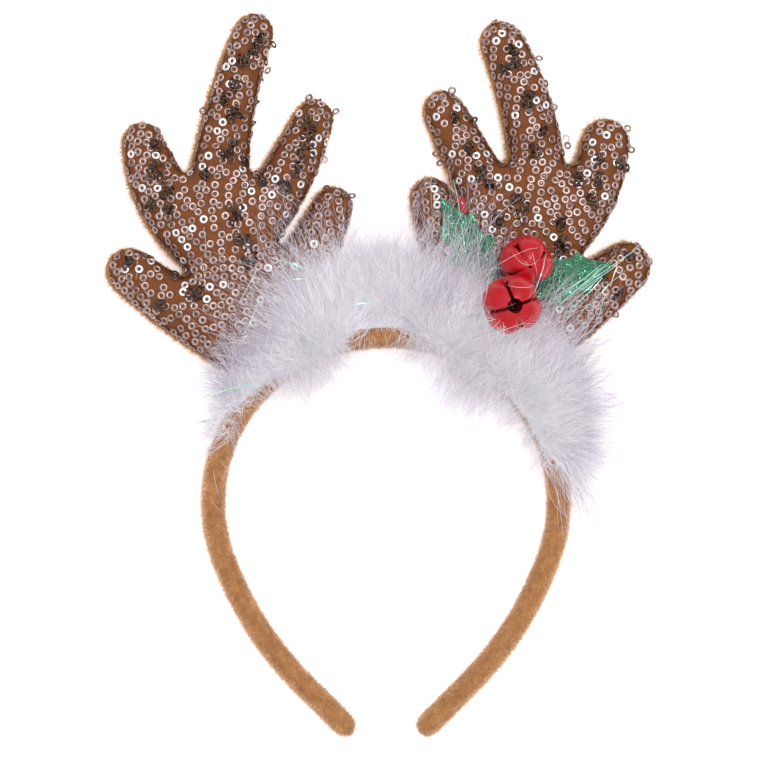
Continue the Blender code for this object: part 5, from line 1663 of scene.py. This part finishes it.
STRAYS = (
    # single long barbs that lie over other things: start and end in the picture, bow to the left in mm
    (478, 282, 547, 248, 2.0), (510, 256, 541, 257, -4.5), (529, 256, 536, 294, 0.3), (556, 268, 558, 304, -2.0),
    (484, 233, 506, 208, 0.5), (484, 233, 521, 198, 1.0), (468, 264, 487, 231, -1.0), (500, 286, 540, 285, -2.0),
    (205, 228, 207, 256, 0.2), (204, 266, 206, 292, 0.2), (138, 257, 137, 279, 0.3), (141, 284, 152, 304, 0.5),
    (452, 262, 470, 222, 0.8), (440, 252, 446, 214, -0.6), (500, 270, 460, 285, -1.5), (225, 320, 190, 300, 1.2),
    (232, 342, 196, 326, -1.5), (262, 300, 238, 262, 1.0), (300, 262, 288, 226, -1.0), (560, 322, 604, 306, 1.5),
    (556, 330, 612, 322, 1.2), (566, 312, 622, 288, -1.0), (212, 500, 235, 520, -0.8), (221, 460, 238, 500, 0.8),
    (560, 470, 558, 530, -0.6), (552, 478, 563, 545, 0.8), (214, 470, 224, 505, -0.5),
)
everything = tree_of(*[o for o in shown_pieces() if o.type == "MESH" and "pile" not in o.name
                       and "wisp" not in o.name])


def tinsel_height(x, y):
    hit = everything.ray_cast(Vector((x, y, 0.1)), DOWN)
    return max(hit[0].z, 0.5 * MM) if hit[0] else 0.5 * MM


def lying_strands(name, rows, finish, width, seed):
    """Strands between places in the picture that lie over what is there; a row ends with tone, bow and width."""
    chance = np.random.default_rng(seed)
    roots, reaches, arches, sides, tones = [], [], [], [], []
    for x0, y0, x1, y1, tone, bend, wide in rows:
        start, end = at(x0, y0), at(x1, y1)
        a = np.array([*start, tinsel_height(*start) + 0.6 * MM])
        b = np.array([*end, tinsel_height(*end) + 0.8 * MM])
        span = b - a
        middle = (a + b) / 2 + unit(np.array([-span[1], span[0], 0])) * bend * MM
        rise = 0.5 * MM
        for share in (0.15, 0.3, 0.5, 0.7, 0.85):
            over = tinsel_height(*((1 - share) * a + share * b + 4 * share * (1 - share) * (middle - (a + b) / 2))[:2])
            rise = max(rise, (over + 0.7 * MM - ((1 - share) * a + share * b)[2]) / (4 * share * (1 - share)))
        roots.append(a)
        reaches.append(span)
        arches.append([*(middle - (a + b) / 2)[:2], rise])
        sides.append(unit(np.cross(span, np.array([0, 0, 1.0]) + chance.normal(0, 0.3, 3))) * wide)
        tones.append(tone)
    return strips(name, even_strip, roots, reaches, arches, sides, tones, finish, "marabou", Width=width,
                  Taper=0.5, Lock_Size=20 * MM, Lock_Sway=0.1, Curl_Size=9 * MM, Curl_Sway=0.12, Lowest=0.2 * MM)


lying_strands("tinsel_strands", [(*row[:5], 0.0, row[5]) for row in TINSEL], film, 1.25 * MM, 91)
lying_strands("marabou_stray_barbs", [(*row[:4], 0.9, row[4], 1.0) for row in STRAYS], single_barbs, 0.15 * MM, 92)
